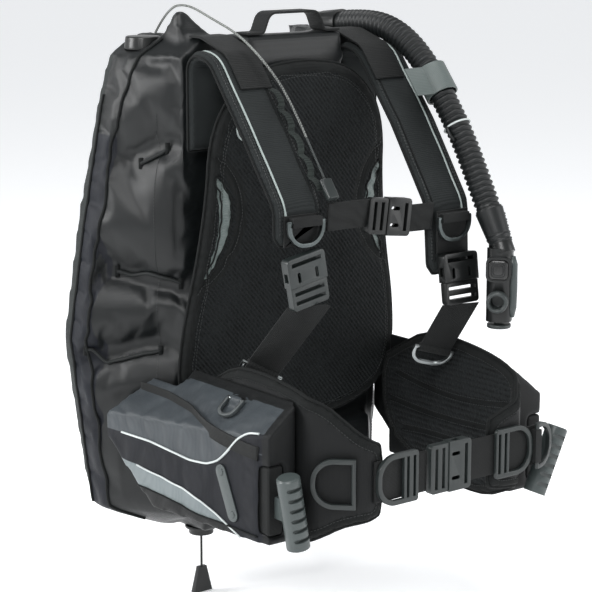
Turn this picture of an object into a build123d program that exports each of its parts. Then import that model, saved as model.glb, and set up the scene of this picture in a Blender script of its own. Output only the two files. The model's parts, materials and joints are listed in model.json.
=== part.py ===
"""Buoyancy compensator vest: air cell, backplate, pad, harness, pockets, buckles, hose and inflator.

Frame: origin at the centre of the tank band, on the tank's axis. +Z up along the tank, -Y is the
wearer's front and +X is the wearer's left. Millimetres.
"""
import os
from math import cos, pi, radians, sin, tan

from build123d import *

os.makedirs("parts", exist_ok=True)

# ---- driving dimensions ----
TANK_RADIUS = 92.0            # the steel tank that the band closes on
BAND_WIDTH = 50.0
BAND_THICK = 3.0
TANK_GAP = 3.0                # soft parts stay this far outside the band

PLATE_THICK = 4.0
PLATE_HALF = 110.0
PLATE_TOP = 228.0
PLATE_BOTTOM = -160.0
RAIL_X = 47.0                 # two ridges on the plate steady the tank
RAIL_WIDE = 10.0

PAD_THICK = 18.0
PAD_LEAN = 3.8                # degrees, the pad's top leans towards the wearer
PAD_BOTTOM = -168.0
PAD_TOP = 308.0
PAD_SIDES = [(70, 300), (116, 264), (138, 215), (140, 142), (152, 60), (170, -20), (175, -92), (150, -142)]

STRAP_X = 115.0               # middle of each shoulder strap
STRAP_WIDE = 70.0
STRAP_THICK = 12.0
STRAP_APEX = 312.0
STRAP_END_RIGHT = 104.0       # the two pads end at different heights
STRAP_END_LEFT = 46.0
STRAP_GAP = 0.2               # between a sewn webbing and the pad under it

WEB = 50.0                    # main webbing
WEB_THICK = 2.6
CHEST_WEB = 34.0              # sternum webbing
BUCKLE_THICK = 12.0
BUCKLE_WALL = 2.5
BUCKLE_REACH = 17.0           # how far the prongs go in
BUCKLE_EDGE = 6.0             # how far a buckle is wider than its webbing on each side
PLUG_BASE = 28.0              # length of the plug's base
SOCKET_BAR = 18.0             # length of the socket past its prongs
SLOT_TALL = 4.5
FIT = 0.4                     # gap between a moving piece and what it fits

BELT_Z = -158.0               # middle of the waist webbing

LOBE_X = 152.0
LOBE_THICK = 12.0

POUCH_THICK = 22.0
POUCH_TALL = 84.0
POUCH_LONG = 184.0
POUCH_TOP = -138.0
HANDLE_RADIUS = 14.0
HANDLE_SLOTS = 6

HOSE_RADIUS = 16.5
CORD_RADIUS = 1.5

# faces that the rest is placed from
band_outer = TANK_RADIUS + BAND_THICK
plate_back = -band_outer
plate_front = plate_back - PLATE_THICK
lobe_rear = plate_front - 26.6
lobe_front = plate_front - 297.0
belt_y = lobe_front - 7.5


# ---- helpers ----
def forward(pairs):
    """(distance in front of the backplate, height) pairs as (Y, Z)."""
    return [(plate_front - ahead, height) for ahead, height in pairs]


def save(part, name):
    """Label a finished piece and write it."""
    part.label = name
    export_step(part, f"parts/{name}.step")


def frame_at(origin, along, up):
    """A plane whose local X runs along and whose normal is up (both made square)."""
    normal = Vector(*up).normalized()
    side = Vector(*along)
    side = (side - normal * side.dot(normal)).normalized()
    return Plane(origin=origin, x_dir=side, z_dir=normal)


def ribbon(points, radii, thick, x_from, x_to):
    """A strip of one thickness, bent in the YZ plane and square across X."""
    with BuildPart() as strip:
        with BuildSketch(Plane.YZ.offset(x_from)):
            with BuildLine():
                FilletPolyline(*points, radius=radii)
            trace(line_width=thick)
        extrude(amount=x_to - x_from)
    return strip.part


def tube(points, radii, radius):
    """A round tube along straight runs joined by tangent arcs."""
    with BuildPart() as line:
        with BuildLine() as route:
            FilletPolyline(*points, radius=radii)
        with BuildSketch(Plane(route.wire() @ 0, z_dir=route.wire() % 0)):
            Circle(radius)
        sweep(path=route.wire())
    length = route.wire().length
    print(f"tube length {length:.1f}, volume ratio {line.part.volume / (length * pi * radius**2):.4f}")
    return line.part


def corner_radii(points, name):
    """The largest arc that each corner of a free cord's route has room for."""
    found = []
    for before, here, after in zip(points, points[1:], points[2:]):
        run_in = Vector(*here) - Vector(*before)
        run_out = Vector(*after) - Vector(*here)
        half_turn = radians(run_in.get_angle(run_out)) / 2
        found.append(0.45 * min(run_in.length, run_out.length) / tan(half_turn))
    print(name, "radii", [round(radius, 1) for radius in found])
    return found


def d_ring(place, wide, deep, wire):
    """A ring that hinges on its straight bar, along local Y, and reaches along local X."""
    corner = min(wide * 0.46, deep * 0.8)
    with BuildPart() as ring:
        with BuildSketch(place.offset(-wire / 2)):
            with BuildSketch(mode=Mode.PRIVATE) as outer:
                with Locations((deep / 2, 0)):
                    Rectangle(deep, wide)
                fillet(outer.vertices().group_by(Axis.X)[-1], corner)
            with BuildSketch(mode=Mode.PRIVATE) as inner:
                with Locations(((deep - wire) / 2 - wire, 0)):
                    Rectangle(deep + wire, wide - 2 * wire)
                fillet(inner.vertices().group_by(Axis.X)[-1], corner - wire)
            add(outer.sketch)
            add(inner.sketch, mode=Mode.SUBTRACT)
        extrude(amount=wire)
        with BuildSketch(Plane(place.origin - place.y_dir * wide / 2, x_dir=place.x_dir, z_dir=place.y_dir)):
            Circle(wire / 2)
        extrude(amount=wide)
    return ring.part


def keeper(place, wide, wire, stand_off, deep=11.0):
    """A sewn loop of webbing round a ring's bar, standing on the surface stand_off below it."""
    reach = wide - 2 * wire - 2
    with BuildPart() as loop:
        with BuildSketch(place.offset(-stand_off)):
            Rectangle(deep, reach)
        extrude(amount=stand_off + wire / 2 + 2.2)
        with BuildSketch(Plane(place.origin - place.y_dir * wide / 2, x_dir=place.x_dir, z_dir=place.y_dir)):
            Circle(wire / 2 + FIT)
        extrude(amount=wide, mode=Mode.SUBTRACT)
    return loop.part


def socket(place, web):
    """Female half of a side-release buckle: the mouth is at local y = 0 and the web bar at the far end."""
    wide = web + 2 * BUCKLE_EDGE
    long = socket_end()
    deep = long - SOCKET_BAR + 4
    inside = BUCKLE_THICK - 2 * BUCKLE_WALL
    with BuildPart() as body:
        with BuildSketch(place.offset(-BUCKLE_THICK / 2)) as outline:
            with Locations((0, long / 2)):
                Rectangle(wide, long)
            fillet(outline.vertices().group_by(Axis.Y)[-1], 5)
        extrude(amount=BUCKLE_THICK)
        with BuildSketch(place.offset(-inside / 2)):
            with Locations((0, deep / 2)):
                Rectangle(wide - 2 * BUCKLE_WALL, deep)
        extrude(amount=inside, mode=Mode.SUBTRACT)
        with BuildSketch(place.offset(-inside / 2)):
            with Locations((0, deep * 0.62)):
                Rectangle(wide + 2, deep * 0.5)
        extrude(amount=inside, mode=Mode.SUBTRACT)
        with BuildSketch(place.offset(-BUCKLE_THICK / 2)):
            with Locations((0, deep + 6)):
                Rectangle(web, 5)
            with Locations((-web * 0.3, deep * 0.5), (web * 0.3, deep * 0.5)):
                SlotOverall(deep * 0.62, 4.5, rotation=90)
        extrude(amount=BUCKLE_THICK, mode=Mode.SUBTRACT)
    return body.part


def plug(place, web):
    """Male half: base with two web slots below local y = 0, a guide and two prongs above it."""
    wide = web + 2 * BUCKLE_EDGE
    arm = 7.0
    arm_thick = BUCKLE_THICK - 2 * BUCKLE_WALL - 2 * FIT
    arm_x = wide / 2 - BUCKLE_WALL - 2 * FIT - arm / 2
    with BuildPart() as body:
        with BuildSketch(place.offset(-BUCKLE_THICK / 2 + 1)) as outline:
            with Locations((0, -FIT - PLUG_BASE / 2)):
                Rectangle(wide - 2, PLUG_BASE)
            fillet(outline.vertices().group_by(Axis.Y)[0], 5)
        extrude(amount=BUCKLE_THICK - 2)
        with BuildSketch(place.offset(-BUCKLE_THICK / 2)):
            with Locations((0, -FIT - 8), (0, -FIT - 19)):
                Rectangle(web, SLOT_TALL)
        extrude(amount=BUCKLE_THICK, mode=Mode.SUBTRACT)
        with BuildSketch(place.offset(-arm_thick / 2)):
            with Locations((-arm_x, BUCKLE_REACH / 2 - 1), (arm_x, BUCKLE_REACH / 2 - 1)):
                Rectangle(arm, BUCKLE_REACH + 2)
            with Locations((0, BUCKLE_REACH / 2 - 1)):
                Rectangle(8, BUCKLE_REACH + 2)
        extrude(amount=arm_thick)
    return body.part


def plug_end():
    """How far the plug's base reaches below the mouth."""
    return PLUG_BASE + FIT


def socket_end():
    """How far the socket reaches above the mouth."""
    return BUCKLE_REACH + SOCKET_BAR


def band(start, end, across, wide, thick):
    """A straight, flat webbing from start to end."""
    run = Vector(*end) - Vector(*start)
    side = Vector(*across)
    side = (side - run.normalized() * side.dot(run.normalized())).normalized()
    with BuildPart() as web:
        with BuildSketch(Plane(origin=start, x_dir=side, z_dir=run.normalized())):
            Rectangle(wide, thick)
        extrude(amount=run.length)
    return web.part


# ---- tank band, buckle and backplate ----
with BuildPart() as tank_band:
    with BuildSketch(Plane.XY.offset(-BAND_WIDTH / 2)):
        Circle(band_outer)
        Circle(TANK_RADIUS, mode=Mode.SUBTRACT)
    extrude(amount=BAND_WIDTH)
save(tank_band.part, "tank_band")

LEVER_LONG = 58.0
LEVER_Y = band_outer + 13.0
LEVER_X = -26.0
with BuildPart() as cam_buckle_body:
    with BuildSketch(Plane.XY.offset(-BAND_WIDTH / 2 - 4)):
        with Locations((0, band_outer + 3)):
            Rectangle(66, 6)
        for side in (-1, 1):
            with Locations((side * 31, band_outer - 3)):
                Rectangle(4, 8)
        Circle(band_outer, mode=Mode.SUBTRACT)
    extrude(amount=BAND_WIDTH + 8)
    for level in (-BAND_WIDTH / 2 - 4, BAND_WIDTH / 2 + 0.5):
        with BuildSketch(Plane.XY.offset(level)):
            with Locations((LEVER_X, band_outer + 11.5)):
                Rectangle(13, 12)
        extrude(amount=3.5)
    with BuildSketch(Plane.XY.offset(-BAND_WIDTH / 2 - 5)):
        with Locations((LEVER_X, LEVER_Y)):
            Circle(2.6)
    extrude(amount=BAND_WIDTH + 10, mode=Mode.SUBTRACT)
save(cam_buckle_body.part, "cam_buckle_body")

with BuildPart() as cam_buckle_lever:
    with BuildSketch(Plane.XY.offset(-BAND_WIDTH / 2)):
        with BuildLine():
            Polyline((LEVER_X - 5, LEVER_Y - 3), (LEVER_X + LEVER_LONG, LEVER_Y - 1),
                     (LEVER_X + LEVER_LONG + 4, LEVER_Y + 5), (LEVER_X + LEVER_LONG - 4, LEVER_Y + 4),
                     (LEVER_X - 5, LEVER_Y + 3.5), close=True)
        make_face()
    extrude(amount=BAND_WIDTH)
    with BuildSketch(Plane.XY.offset(-BAND_WIDTH / 2 - 4)):
        with Locations((LEVER_X, LEVER_Y)):
            Circle(2.3)
    extrude(amount=BAND_WIDTH + 8)
save(cam_buckle_lever.part, "cam_buckle_lever")

with BuildPart() as backplate:
    with BuildSketch(Plane.XZ.offset(band_outer)) as plate_outline:
        with BuildLine():
            Polyline((-PLATE_HALF, PLATE_BOTTOM + 30), (-PLATE_HALF + 30, PLATE_BOTTOM),
                     (PLATE_HALF - 30, PLATE_BOTTOM), (PLATE_HALF, PLATE_BOTTOM + 30),
                     (PLATE_HALF - 22, 110), (PLATE_HALF, PLATE_TOP - 40), (PLATE_HALF - 22, PLATE_TOP),
                     (-PLATE_HALF + 22, PLATE_TOP), (-PLATE_HALF, PLATE_TOP - 40), (-PLATE_HALF + 22, 110),
                     close=True)
        make_face()
        for level in (-90, 60, 150):
            with Locations((0, level)):
                SlotOverall(90, 26, mode=Mode.SUBTRACT)
    extrude(amount=PLATE_THICK)
    for side in (-1, 1):
        with BuildSketch(Plane.XY.offset(PLATE_BOTTOM + 20)):
            with Locations((side * RAIL_X, plate_back + 7)):
                Rectangle(RAIL_WIDE, 14)
            Circle(band_outer + 0.5, mode=Mode.SUBTRACT)
        extrude(amount=PLATE_TOP - PLATE_BOTTOM - 40)
save(backplate.part, "backplate")

# ---- back pad: an hourglass cushion in front of the plate, leaning with its top forward ----
lean = radians(PAD_LEAN)
pad_foot = Plane(origin=(0, plate_front - 0.5, PAD_BOTTOM), x_dir=(1, 0, 0),
                 z_dir=(0, -cos(lean), -sin(lean)))
with BuildPart() as back_pad:
    with BuildSketch(pad_foot) as pad_outline:
        right_side = [(-x, z - PAD_BOTTOM) for x, z in reversed(PAD_SIDES)]
        left_side = [(x, z - PAD_BOTTOM) for x, z in PAD_SIDES]
        with BuildLine():
            crown = [(0, PAD_TOP - PAD_BOTTOM)] + left_side + [(60, 0), (-60, 0)] + right_side
            Polyline(*crown, close=True)
        make_face()
    extrude(amount=PAD_THICK)
save(back_pad.part, "back_pad")


def pad_back_y(level):
    """The Y of the pad's rear face at a height."""
    return plate_front - 0.5 - (level - PAD_BOTTOM) * tan(lean)


# ---- air cell: a lobe on each side of the tank, joined above and below it ----
cell_front = plate_back + 0.3
bridge_rear = plate_back + 15
SEAT_X = 146.0                # hose elbow on the left, dump valve on the right
SEAT_Y = -5.0
SEAT_Z = 318.0
SEAT_RADIUS = 24.0
HOSE_Z = SEAT_Z + HOSE_RADIUS + 5.5
WING_LEVELS = [(-292, 150, -30, 12), (-265, 218, -4, 28), (-185, 228, 0, 36), (-45, 246, 0, 38),
               (40, 232, 0, 38), (100, 222, 0, 38), (250, 192, -8, 34), (312, 174, -20, 30),
               (335, 142, -30, 22)]
with BuildPart() as air_cell:
    for level, half, front, rear in WING_LEVELS:
        with BuildSketch(Plane.XY.offset(level)):
            with BuildLine():
                Polyline((60, cell_front), (min(148, half - 24), cell_front), (half, front), (half, rear),
                         (half - 34, rear + 12), (110, rear), (60, cell_front + 20), close=True)
            make_face()
    loft(ruled=True)
    mirror(about=Plane.YZ)
    collar_front = 0.5
    with BuildSketch(Plane.YZ.offset(-75)):
        with BuildLine():
            Polyline((bridge_rear, 238), (pad_back_y(238) + collar_front, 238),
                     (pad_back_y(PAD_TOP) + collar_front, PAD_TOP), (pad_back_y(PAD_TOP) + 4, 338),
                     (bridge_rear, 338), close=True)
        make_face()
    extrude(amount=150)
    with BuildSketch(Plane.YZ.offset(-138)):
        with BuildLine():
            Polyline((bridge_rear, -290), *forward([(17, -288), (22, -240), (13, -176)]), (bridge_rear, -176),
                     close=True)
        make_face()
    extrude(amount=276)
    # the raised corner of the right lobe
    with BuildSketch(Plane.XY.offset(330)):
        with Locations((-112, -52)):
            Rectangle(52, 44)
    with BuildSketch(Plane.XY.offset(366)):
        with Locations((-127, -58)):
            Rectangle(16, 14)
    loft(ruled=True)
    with BuildSketch(Plane.XY.offset(-300)):
        Circle(band_outer + TANK_GAP)
    extrude(amount=700, mode=Mode.SUBTRACT)
    with BuildSketch(Plane.XY.offset(SEAT_Z)):
        with Locations((SEAT_X, SEAT_Y), (-SEAT_X, SEAT_Y)):
            Circle(SEAT_RADIUS + 0.3)
    extrude(amount=60, mode=Mode.SUBTRACT)
    # the hose and its elbow lie in a dip
    with BuildSketch(Plane.XZ.offset(-SEAT_Y - 20)):
        with Locations((SEAT_X, HOSE_Z + 3)):
            Circle(HOSE_RADIUS + 6)
    extrude(amount=SEAT_Y + 25 - plate_back, mode=Mode.SUBTRACT)
save(air_cell.part, "air_cell")

# ---- carry handle: a webbing arch on the collar ----
HANDLE_SPAN = 96.0
with BuildPart() as carry_handle:
    with BuildSketch(Plane.XZ.offset(-plate_front - 1)):
        with BuildLine():
            FilletPolyline((-HANDLE_SPAN / 2 - 24, 339.6), (-HANDLE_SPAN / 2, 339.6),
                           (-HANDLE_SPAN / 2 + 10, 364), (HANDLE_SPAN / 2 - 10, 364),
                           (HANDLE_SPAN / 2, 339.6), (HANDLE_SPAN / 2 + 24, 339.6),
                           radius=[6, 14, 14, 6])
        trace(line_width=3)
    extrude(amount=28)
save(carry_handle.part, "carry_handle")

# ---- shoulder harness, one set for each side (side -1 is the wearer's right) ----
STRAP_ROUTES = {
    "right": forward([(6.5, 200), (6.5, STRAP_APEX + 10), (51, STRAP_APEX), (115, 232), (177, 150),
                      (177, STRAP_END_RIGHT)]),
    "left": forward([(6.5, 200), (6.5, STRAP_APEX + 10), (51, STRAP_APEX), (119, 228), (183, 134),
                     (188, STRAP_END_LEFT)]),
}
STRAP_RADII = [20, 38, 60, 30]
SIDES = {"right": -1, "left": 1}

# where each shoulder buckle's mouth is, and the way up along it
BUCKLE_UP = {"right": (-0.18, 0.0, 0.98), "left": (0.0, 0.13, 0.99)}
BUCKLE_MOUTH = {"right": (-112.0, plate_front - 192, 62.0), "left": (118.0, plate_front - 207, 38.0)}
LOWER_ACROSS = {"right": (0.8, -0.45, -0.43), "left": (0.8, -0.4, -0.1)}
SHOULDER_RING = WEB + 4
LOWER_RING = WEB + 4
ring_x = STRAP_X - STRAP_WIDE / 2 + 5 + SHOULDER_RING / 2
lower_x = LOBE_X - LOBE_THICK / 2 - LOWER_RING / 2 - 1
LOWER_END = {"right": (-lower_x, plate_front - 113, -58.0), "left": (lower_x, plate_front - 163, -58.0)}
SHOULDER_WIRE = 4.5
LOWER_WIRE = 4.0
LOWER_WEB = WEB - 8
LOWER_EYE = 5.6               # outer radius of the lower webbing's fold round its ring
RING_LIFT = 5.5               # height of a shoulder ring's bar over its webbing
WEB_TOP = {"right": 150.0, "left": 134.0}
KNOB_LINE_X = -75.5

slope_top, slope_foot = (Vector(KNOB_LINE_X, *point) for point in STRAP_ROUTES["right"][3:5])
strap_down = (slope_foot - slope_top).normalized()
strap_out = Vector(0, strap_down.Z, -strap_down.Y)
pull_start = slope_top + strap_out * 20 + strap_down * 38

for name, side in SIDES.items():
    inner = side * (STRAP_X - STRAP_WIDE / 2)
    outer = side * (STRAP_X + STRAP_WIDE / 2)
    low, high = sorted((inner, outer))
    pad = ribbon(STRAP_ROUTES[name], STRAP_RADII, STRAP_THICK, low, high)
    if name == "right":
        # a sewn sleeve on the inner edge guides the dump cord
        sleeve_plane = Plane(pull_start - strap_down * 14, x_dir=(1, 0, 0), z_dir=strap_down)
        with BuildPart() as shoulder_pad:
            add(pad)
            with BuildSketch(sleeve_plane):
                with Locations((-4, -5)):
                    Rectangle(17, 18)
                Circle(CORD_RADIUS + FIT, mode=Mode.SUBTRACT)
            extrude(amount=28)
        pad = shoulder_pad.part
    save(pad, f"shoulder_pad_{name}")

    collar_low, collar_high = sorted((side * 82.0, side * 128.0))
    collar = ribbon(forward([(-20, 336.8), (3, 336.8), (55.4, 320.1), (87, 280.6)]), [30, 30], WEB_THICK,
                    collar_low, collar_high)
    save(collar, f"collar_webbing_{name}")

    # webbing sewn down the front of the pad: it holds the D-ring and the buckle's socket
    up = Vector(*BUCKLE_UP[name]).normalized()
    mouth = Vector(*BUCKLE_MOUTH[name])
    across = Vector(1, 0, 0) - up * up.X
    buckle_plane = Plane(origin=mouth, x_dir=across.normalized(), z_dir=across.normalized().cross(up))
    socket_top = mouth + up * socket_end()
    surface_y = STRAP_ROUTES[name][-1][0] - STRAP_THICK / 2
    web_y = surface_y - STRAP_GAP - WEB_THICK / 2
    tab_foot = STRAP_ROUTES[name][-1][1] + 1 if name == "right" else socket_top.Z + 0.5
    tab = band((side * STRAP_X, web_y, tab_foot), (side * STRAP_X, web_y, WEB_TOP[name] - 8), (1, 0, 0),
               WEB, WEB_THICK)
    ring_plane = frame_at((side * ring_x, web_y - WEB_THICK / 2 - RING_LIFT, WEB_TOP[name] - 16), (0, 0, -1),
                          (0, -1, 0))
    ring_loop = keeper(ring_plane, SHOULDER_RING, SHOULDER_WIRE, RING_LIFT)
    with BuildPart() as shoulder_web:
        add(tab)
        add(ring_loop)
    save(shoulder_web.part, f"shoulder_web_{name}")
    save(d_ring(ring_plane, SHOULDER_RING, 30, SHOULDER_WIRE), f"shoulder_ring_{name}")

    save(socket(buckle_plane, WEB - 6), f"shoulder_socket_{name}")
    save(plug(buckle_plane, WEB - 6), f"shoulder_plug_{name}")
    print(name, "buckle slide axis", [round(-value, 4) for value in tuple(up)])

    # lower webbing: from the plug down to a square ring beside the pocket
    start = mouth - up * (plug_end() + 0.6)
    end = Vector(*LOWER_END[name])
    run = (end - start).normalized()
    sideways = Vector(*LOWER_ACROSS[name])
    sideways = (sideways - run * sideways.dot(run)).normalized()
    outward = sideways.cross(run)
    if outward.Y > 0:
        outward = outward * -1
    low_ring_plane = Plane(origin=end, x_dir=run, z_dir=outward)
    lower_web = band(start - run * 12, end - run * 5.0, sideways, LOWER_WEB, WEB_THICK)
    with BuildPart() as lower_strap:
        add(lower_web)
        with BuildSketch(Plane(start, z_dir=up)):
            Rectangle(120, 120)
        extrude(amount=60, mode=Mode.SUBTRACT)
        with BuildSketch(Plane(end - low_ring_plane.y_dir * LOWER_WEB / 2, x_dir=run,
                               z_dir=low_ring_plane.y_dir)):
            Circle(LOWER_EYE)
            Circle(LOWER_WIRE / 2 + FIT, mode=Mode.SUBTRACT)
        extrude(amount=LOWER_WEB)
    save(lower_strap.part, f"lower_strap_{name}")
    save(d_ring(low_ring_plane, LOWER_RING, 26, LOWER_WIRE), f"lower_ring_{name}")
    print(name, "lower ring", [round(v, 3) for v in tuple(low_ring_plane.y_dir)])

# ---- waist lobes: padded wings that curve round to the belt ----
LOBE_OUTLINE = forward([(26.6, -96), (106, -50), (201, -52), (262, -64), (293, -92), (311, -128),
                        (311, -190), (275, -222), (231, -243), (151, -240), (65, -216), (26.6, -170)])
LOBE_ROUTES = {
    "right": [(-LOBE_X, lobe_rear), (-LOBE_X, lobe_front + 46), (46 - LOBE_X, lobe_front), (-84, lobe_front)],
    "left": [(LOBE_X, lobe_rear), (LOBE_X, lobe_front + 20), (LOBE_X - 20, lobe_front), (84, lobe_front)],
}
LOBE_BENDS = {"right": [24, 24], "left": [14, 14]}

# the right outer ring hinges on a keeper sewn to the bend of its lobe
RIGHT_RING = 60.0
RIGHT_WIRE = 5.5
corner_in, corner_out = (Vector(*point, 0) for point in LOBE_ROUTES["right"][1:3])
bend = (corner_in - corner_out).normalized()
bend_out = Vector(-abs(bend.Y), -abs(bend.X), 0)
right_bar = corner_out + bend * 14 + bend_out * (LOBE_THICK / 2 + 5.6) + Vector(0, 0, BELT_Z)
outer_right = Plane(origin=right_bar, x_dir=bend, z_dir=bend_out)
right_loop = keeper(outer_right, RIGHT_RING, RIGHT_WIRE, 6.0)
for name, side in SIDES.items():
    with BuildPart() as waist_lobe:
        with BuildSketch(Plane.XY.offset(-250)):
            with BuildLine():
                FilletPolyline(*LOBE_ROUTES[name], radius=LOBE_BENDS[name])
            trace(line_width=LOBE_THICK)
        extrude(amount=210)
        with BuildSketch(Plane.YZ.offset(-200)):
            with BuildLine():
                Polyline(*LOBE_OUTLINE, close=True)
            make_face()
        extrude(amount=400, mode=Mode.INTERSECT)
        if name == "right":
            add(right_loop)
    save(waist_lobe.part, f"waist_lobe_{name}")

# ---- cargo pockets, weight pouches and their handles ----
POCKET_BOTTOM = -232.0
POCKET_INNER = LOBE_X + LOBE_THICK / 2 + 0.3
POCKET = {
    "right": {"front": plate_front - 237, "pouch_x": 191.0, "outer_front": 207.0,
              "handle_top": (195.0, plate_front - 263, -143.0),
              "handle_foot": (178.0, plate_front - 261, -231.0)},
    "left": {"front": plate_front - 261, "pouch_x": 203.0, "outer_front": 219.0,
             "handle_top": (214.0, plate_front - 289, -148.0),
             "handle_foot": (178.0, plate_front - 287, -228.0)},
}
pocket_step = plate_front - 28
pocket_notch = plate_front + 27
pocket_rear = plate_front + 57
FLAP_DROP = 62.0 / 78.0       # how steeply the flap falls outwards
FLAP_TOP = -66.0
POCKET_RING = 32.0
POCKET_WIRE = 4.0
POCKET_RING_X = 178.0
POCKET_REAR_X = 236.0
FLAP_EDGE_X = 245.0
for name, side in SIDES.items():
    shape = POCKET[name]
    front = shape["front"]
    outer_front = shape["outer_front"]
    outer_rear = POCKET_REAR_X
    # a D-ring hangs on the flap from a sewn keeper
    out_down = Vector(side, 0, -FLAP_DROP).normalized()
    flap_normal = Vector(side * FLAP_DROP, 0, 1).normalized()
    flap_z = FLAP_TOP - (POCKET_RING_X - POCKET_INNER) * FLAP_DROP
    ring_at = Vector(side * POCKET_RING_X, plate_front - 145, flap_z) + flap_normal * 4.2
    flap_plane = Plane(origin=ring_at, x_dir=out_down, z_dir=flap_normal)
    flap_loop = keeper(flap_plane, POCKET_RING, POCKET_WIRE, 4.6, deep=10)
    with BuildPart() as cargo_pocket:
        with BuildSketch(Plane.XY.offset(POCKET_BOTTOM)):
            with BuildLine():
                Polyline((side * POCKET_INNER, front + 8), (side * POCKET_INNER, pocket_step),
                         (side * 179, pocket_step), (side * 179, pocket_notch),
                         (side * outer_rear, pocket_rear),
                         (side * outer_front, front + 22), (side * (outer_front - 6), front),
                         (side * (POCKET_INNER + 6), front), close=True)
            make_face()
        extrude(amount=174)
        # the flap slopes down outwards
        with BuildSketch(Plane.XZ.offset(30)):
            with BuildLine():
                Polyline((side * POCKET_INNER, FLAP_TOP),
                         (side * FLAP_EDGE_X, FLAP_TOP - (FLAP_EDGE_X - POCKET_INNER) * FLAP_DROP),
                         (side * FLAP_EDGE_X, -40), (side * POCKET_INNER, -40), close=True)
            make_face()
        extrude(amount=400, mode=Mode.SUBTRACT)
        # the rear end tapers upwards
        with BuildSketch(Plane.YZ.offset(-260)):
            with BuildLine():
                Polyline(*forward([(51, -240), (29, POCKET_BOTTOM), (-69, -148), (-69, -240)]), close=True)
            make_face()
        extrude(amount=520, mode=Mode.SUBTRACT)
        with BuildSketch(Plane.XZ.offset(-front + 1)):
            with Locations((side * shape["pouch_x"], POUCH_TOP - POUCH_TALL / 2)):
                Rectangle(POUCH_THICK + 2, POUCH_TALL + 2)
        extrude(amount=-POUCH_LONG - 4, mode=Mode.SUBTRACT)
        add(flap_loop)
    save(cargo_pocket.part, f"cargo_pocket_{name}")

    with BuildPart() as weight_pouch:
        with BuildSketch(Plane.XZ.offset(-front - 2)) as pouch_end:
            with Locations((side * shape["pouch_x"], POUCH_TOP - POUCH_TALL / 2)):
                RectangleRounded(POUCH_THICK, POUCH_TALL, 5)
        extrude(amount=-POUCH_LONG + 6)
    save(weight_pouch.part, f"weight_pouch_{name}")

    top = Vector(side * shape["handle_top"][0], shape["handle_top"][1], shape["handle_top"][2])
    foot = Vector(side * shape["handle_foot"][0], shape["handle_foot"][1], shape["handle_foot"][2])
    grip_way = (foot - top).normalized()
    grip = Plane(top, x_dir=(0, -1, 0), z_dir=grip_way)
    stem_from = front + 1.9
    with BuildPart() as pouch_handle:
        with BuildSketch(grip):
            Circle(HANDLE_RADIUS)
        extrude(amount=(foot - top).length)
        with BuildSketch(Plane.XZ.offset(-stem_from)):
            with Locations((side * shape["pouch_x"] - side * 4, (top.Z + foot.Z) / 2)):
                Rectangle(12, 26)
        extrude(amount=stem_from - top.Y - 4)
        # finger slots across the front of the grip
        for step in range(HANDLE_SLOTS):
            slot_at = top + (foot - top) * ((step + 1) / (HANDLE_SLOTS + 1))
            with BuildSketch(Plane(slot_at, x_dir=grip_way, z_dir=(0, -1, 0)).offset(8)):
                SlotOverall(22, 5, rotation=90)
            extrude(amount=10, mode=Mode.SUBTRACT)
        chamfer(pouch_handle.faces().sort_by(Axis.Z)[-1].edges(), 2)
    save(pouch_handle.part, f"pouch_handle_{name}")

    save(d_ring(flap_plane, POCKET_RING, 27, POCKET_WIRE), f"pocket_ring_{name}")

    # badge plate with two rivets on the pocket's outer face
    face_run = Vector(side * (outer_front - outer_rear), front + 22 - pocket_rear, 0).normalized()
    face_normal = Vector(side, side * -face_run.X / face_run.Y, 0).normalized()
    if face_normal.X * side < 0:
        face_normal = face_normal * -1
    share = (pocket_rear - front - 68) / (pocket_rear - front - 22)
    badge_at = Vector(side * (outer_rear + (outer_front - outer_rear) * share), front + 68, -182)
    badge_plane = Plane(badge_at + face_normal * 0.1, x_dir=(0, -0.38, -0.92), z_dir=face_normal)
    with BuildPart() as badge_plate:
        with BuildSketch(badge_plane):
            SlotOverall(70, 17)
        extrude(amount=2)
        with BuildSketch(badge_plane.offset(2)):
            with Locations((-26, 0), (26, 0)):
                Circle(4.5)
        extrude(amount=1.2)
    save(badge_plate.part, f"badge_plate_{name}")

# ---- waist belt ----
web_front = belt_y - WEB_THICK / 2
PLUG_END_X = -18.0
MOUTH_X = PLUG_END_X + plug_end()
waist_plane = Plane(origin=(MOUTH_X, belt_y - 1.0, BELT_Z), x_dir=(0, 0, -1), z_dir=(0, -1, 0))
save(socket(waist_plane, WEB), "waist_socket")
save(plug(waist_plane, WEB), "waist_plug")
print("waist buckle local up", tuple(waist_plane.y_dir))
SOCKET_END_X = MOUTH_X + socket_end()

WEB_END = 0.3                 # gap between a buckle and the end of its webbing
right_web = band((-101, belt_y, BELT_Z), (PLUG_END_X - WEB_END, belt_y, BELT_Z), (0, 0, 1), WEB, WEB_THICK)
save(right_web, "belt_right")

# the left outer ring hinges on a keeper past the slide
LEFT_BAR_X = 156.0
LEFT_WIRE = 5.5
LEFT_LOOP = 42.0
left_bar = Vector(LEFT_BAR_X, belt_y - WEB_THICK / 2 - 5.6, BELT_Z)
outer_left = frame_at(left_bar, (1, 0.30, 0), (0.30, -1, 0))
save(d_ring(outer_right, RIGHT_RING, 50, RIGHT_WIRE), "belt_ring_right")
left_web = band((SOCKET_END_X + WEB_END, belt_y, BELT_Z), (LEFT_BAR_X + 5, belt_y, BELT_Z), (0, 0, 1), WEB,
                WEB_THICK)
with BuildPart() as belt_left:
    add(left_web)
    with BuildSketch(Plane.XY.offset(BELT_Z - LEFT_LOOP / 2)):
        with Locations((LEFT_BAR_X, (left_bar.Y + belt_y) / 2 - 1)):
            Rectangle(10, 11.5)
        with Locations((left_bar.X, left_bar.Y)):
            Circle(LEFT_WIRE / 2 + FIT, mode=Mode.SUBTRACT)
    extrude(amount=LEFT_LOOP)
save(belt_left.part, "belt_left")
save(d_ring(outer_left, 58, 33, LEFT_WIRE), "belt_ring_left")


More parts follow.
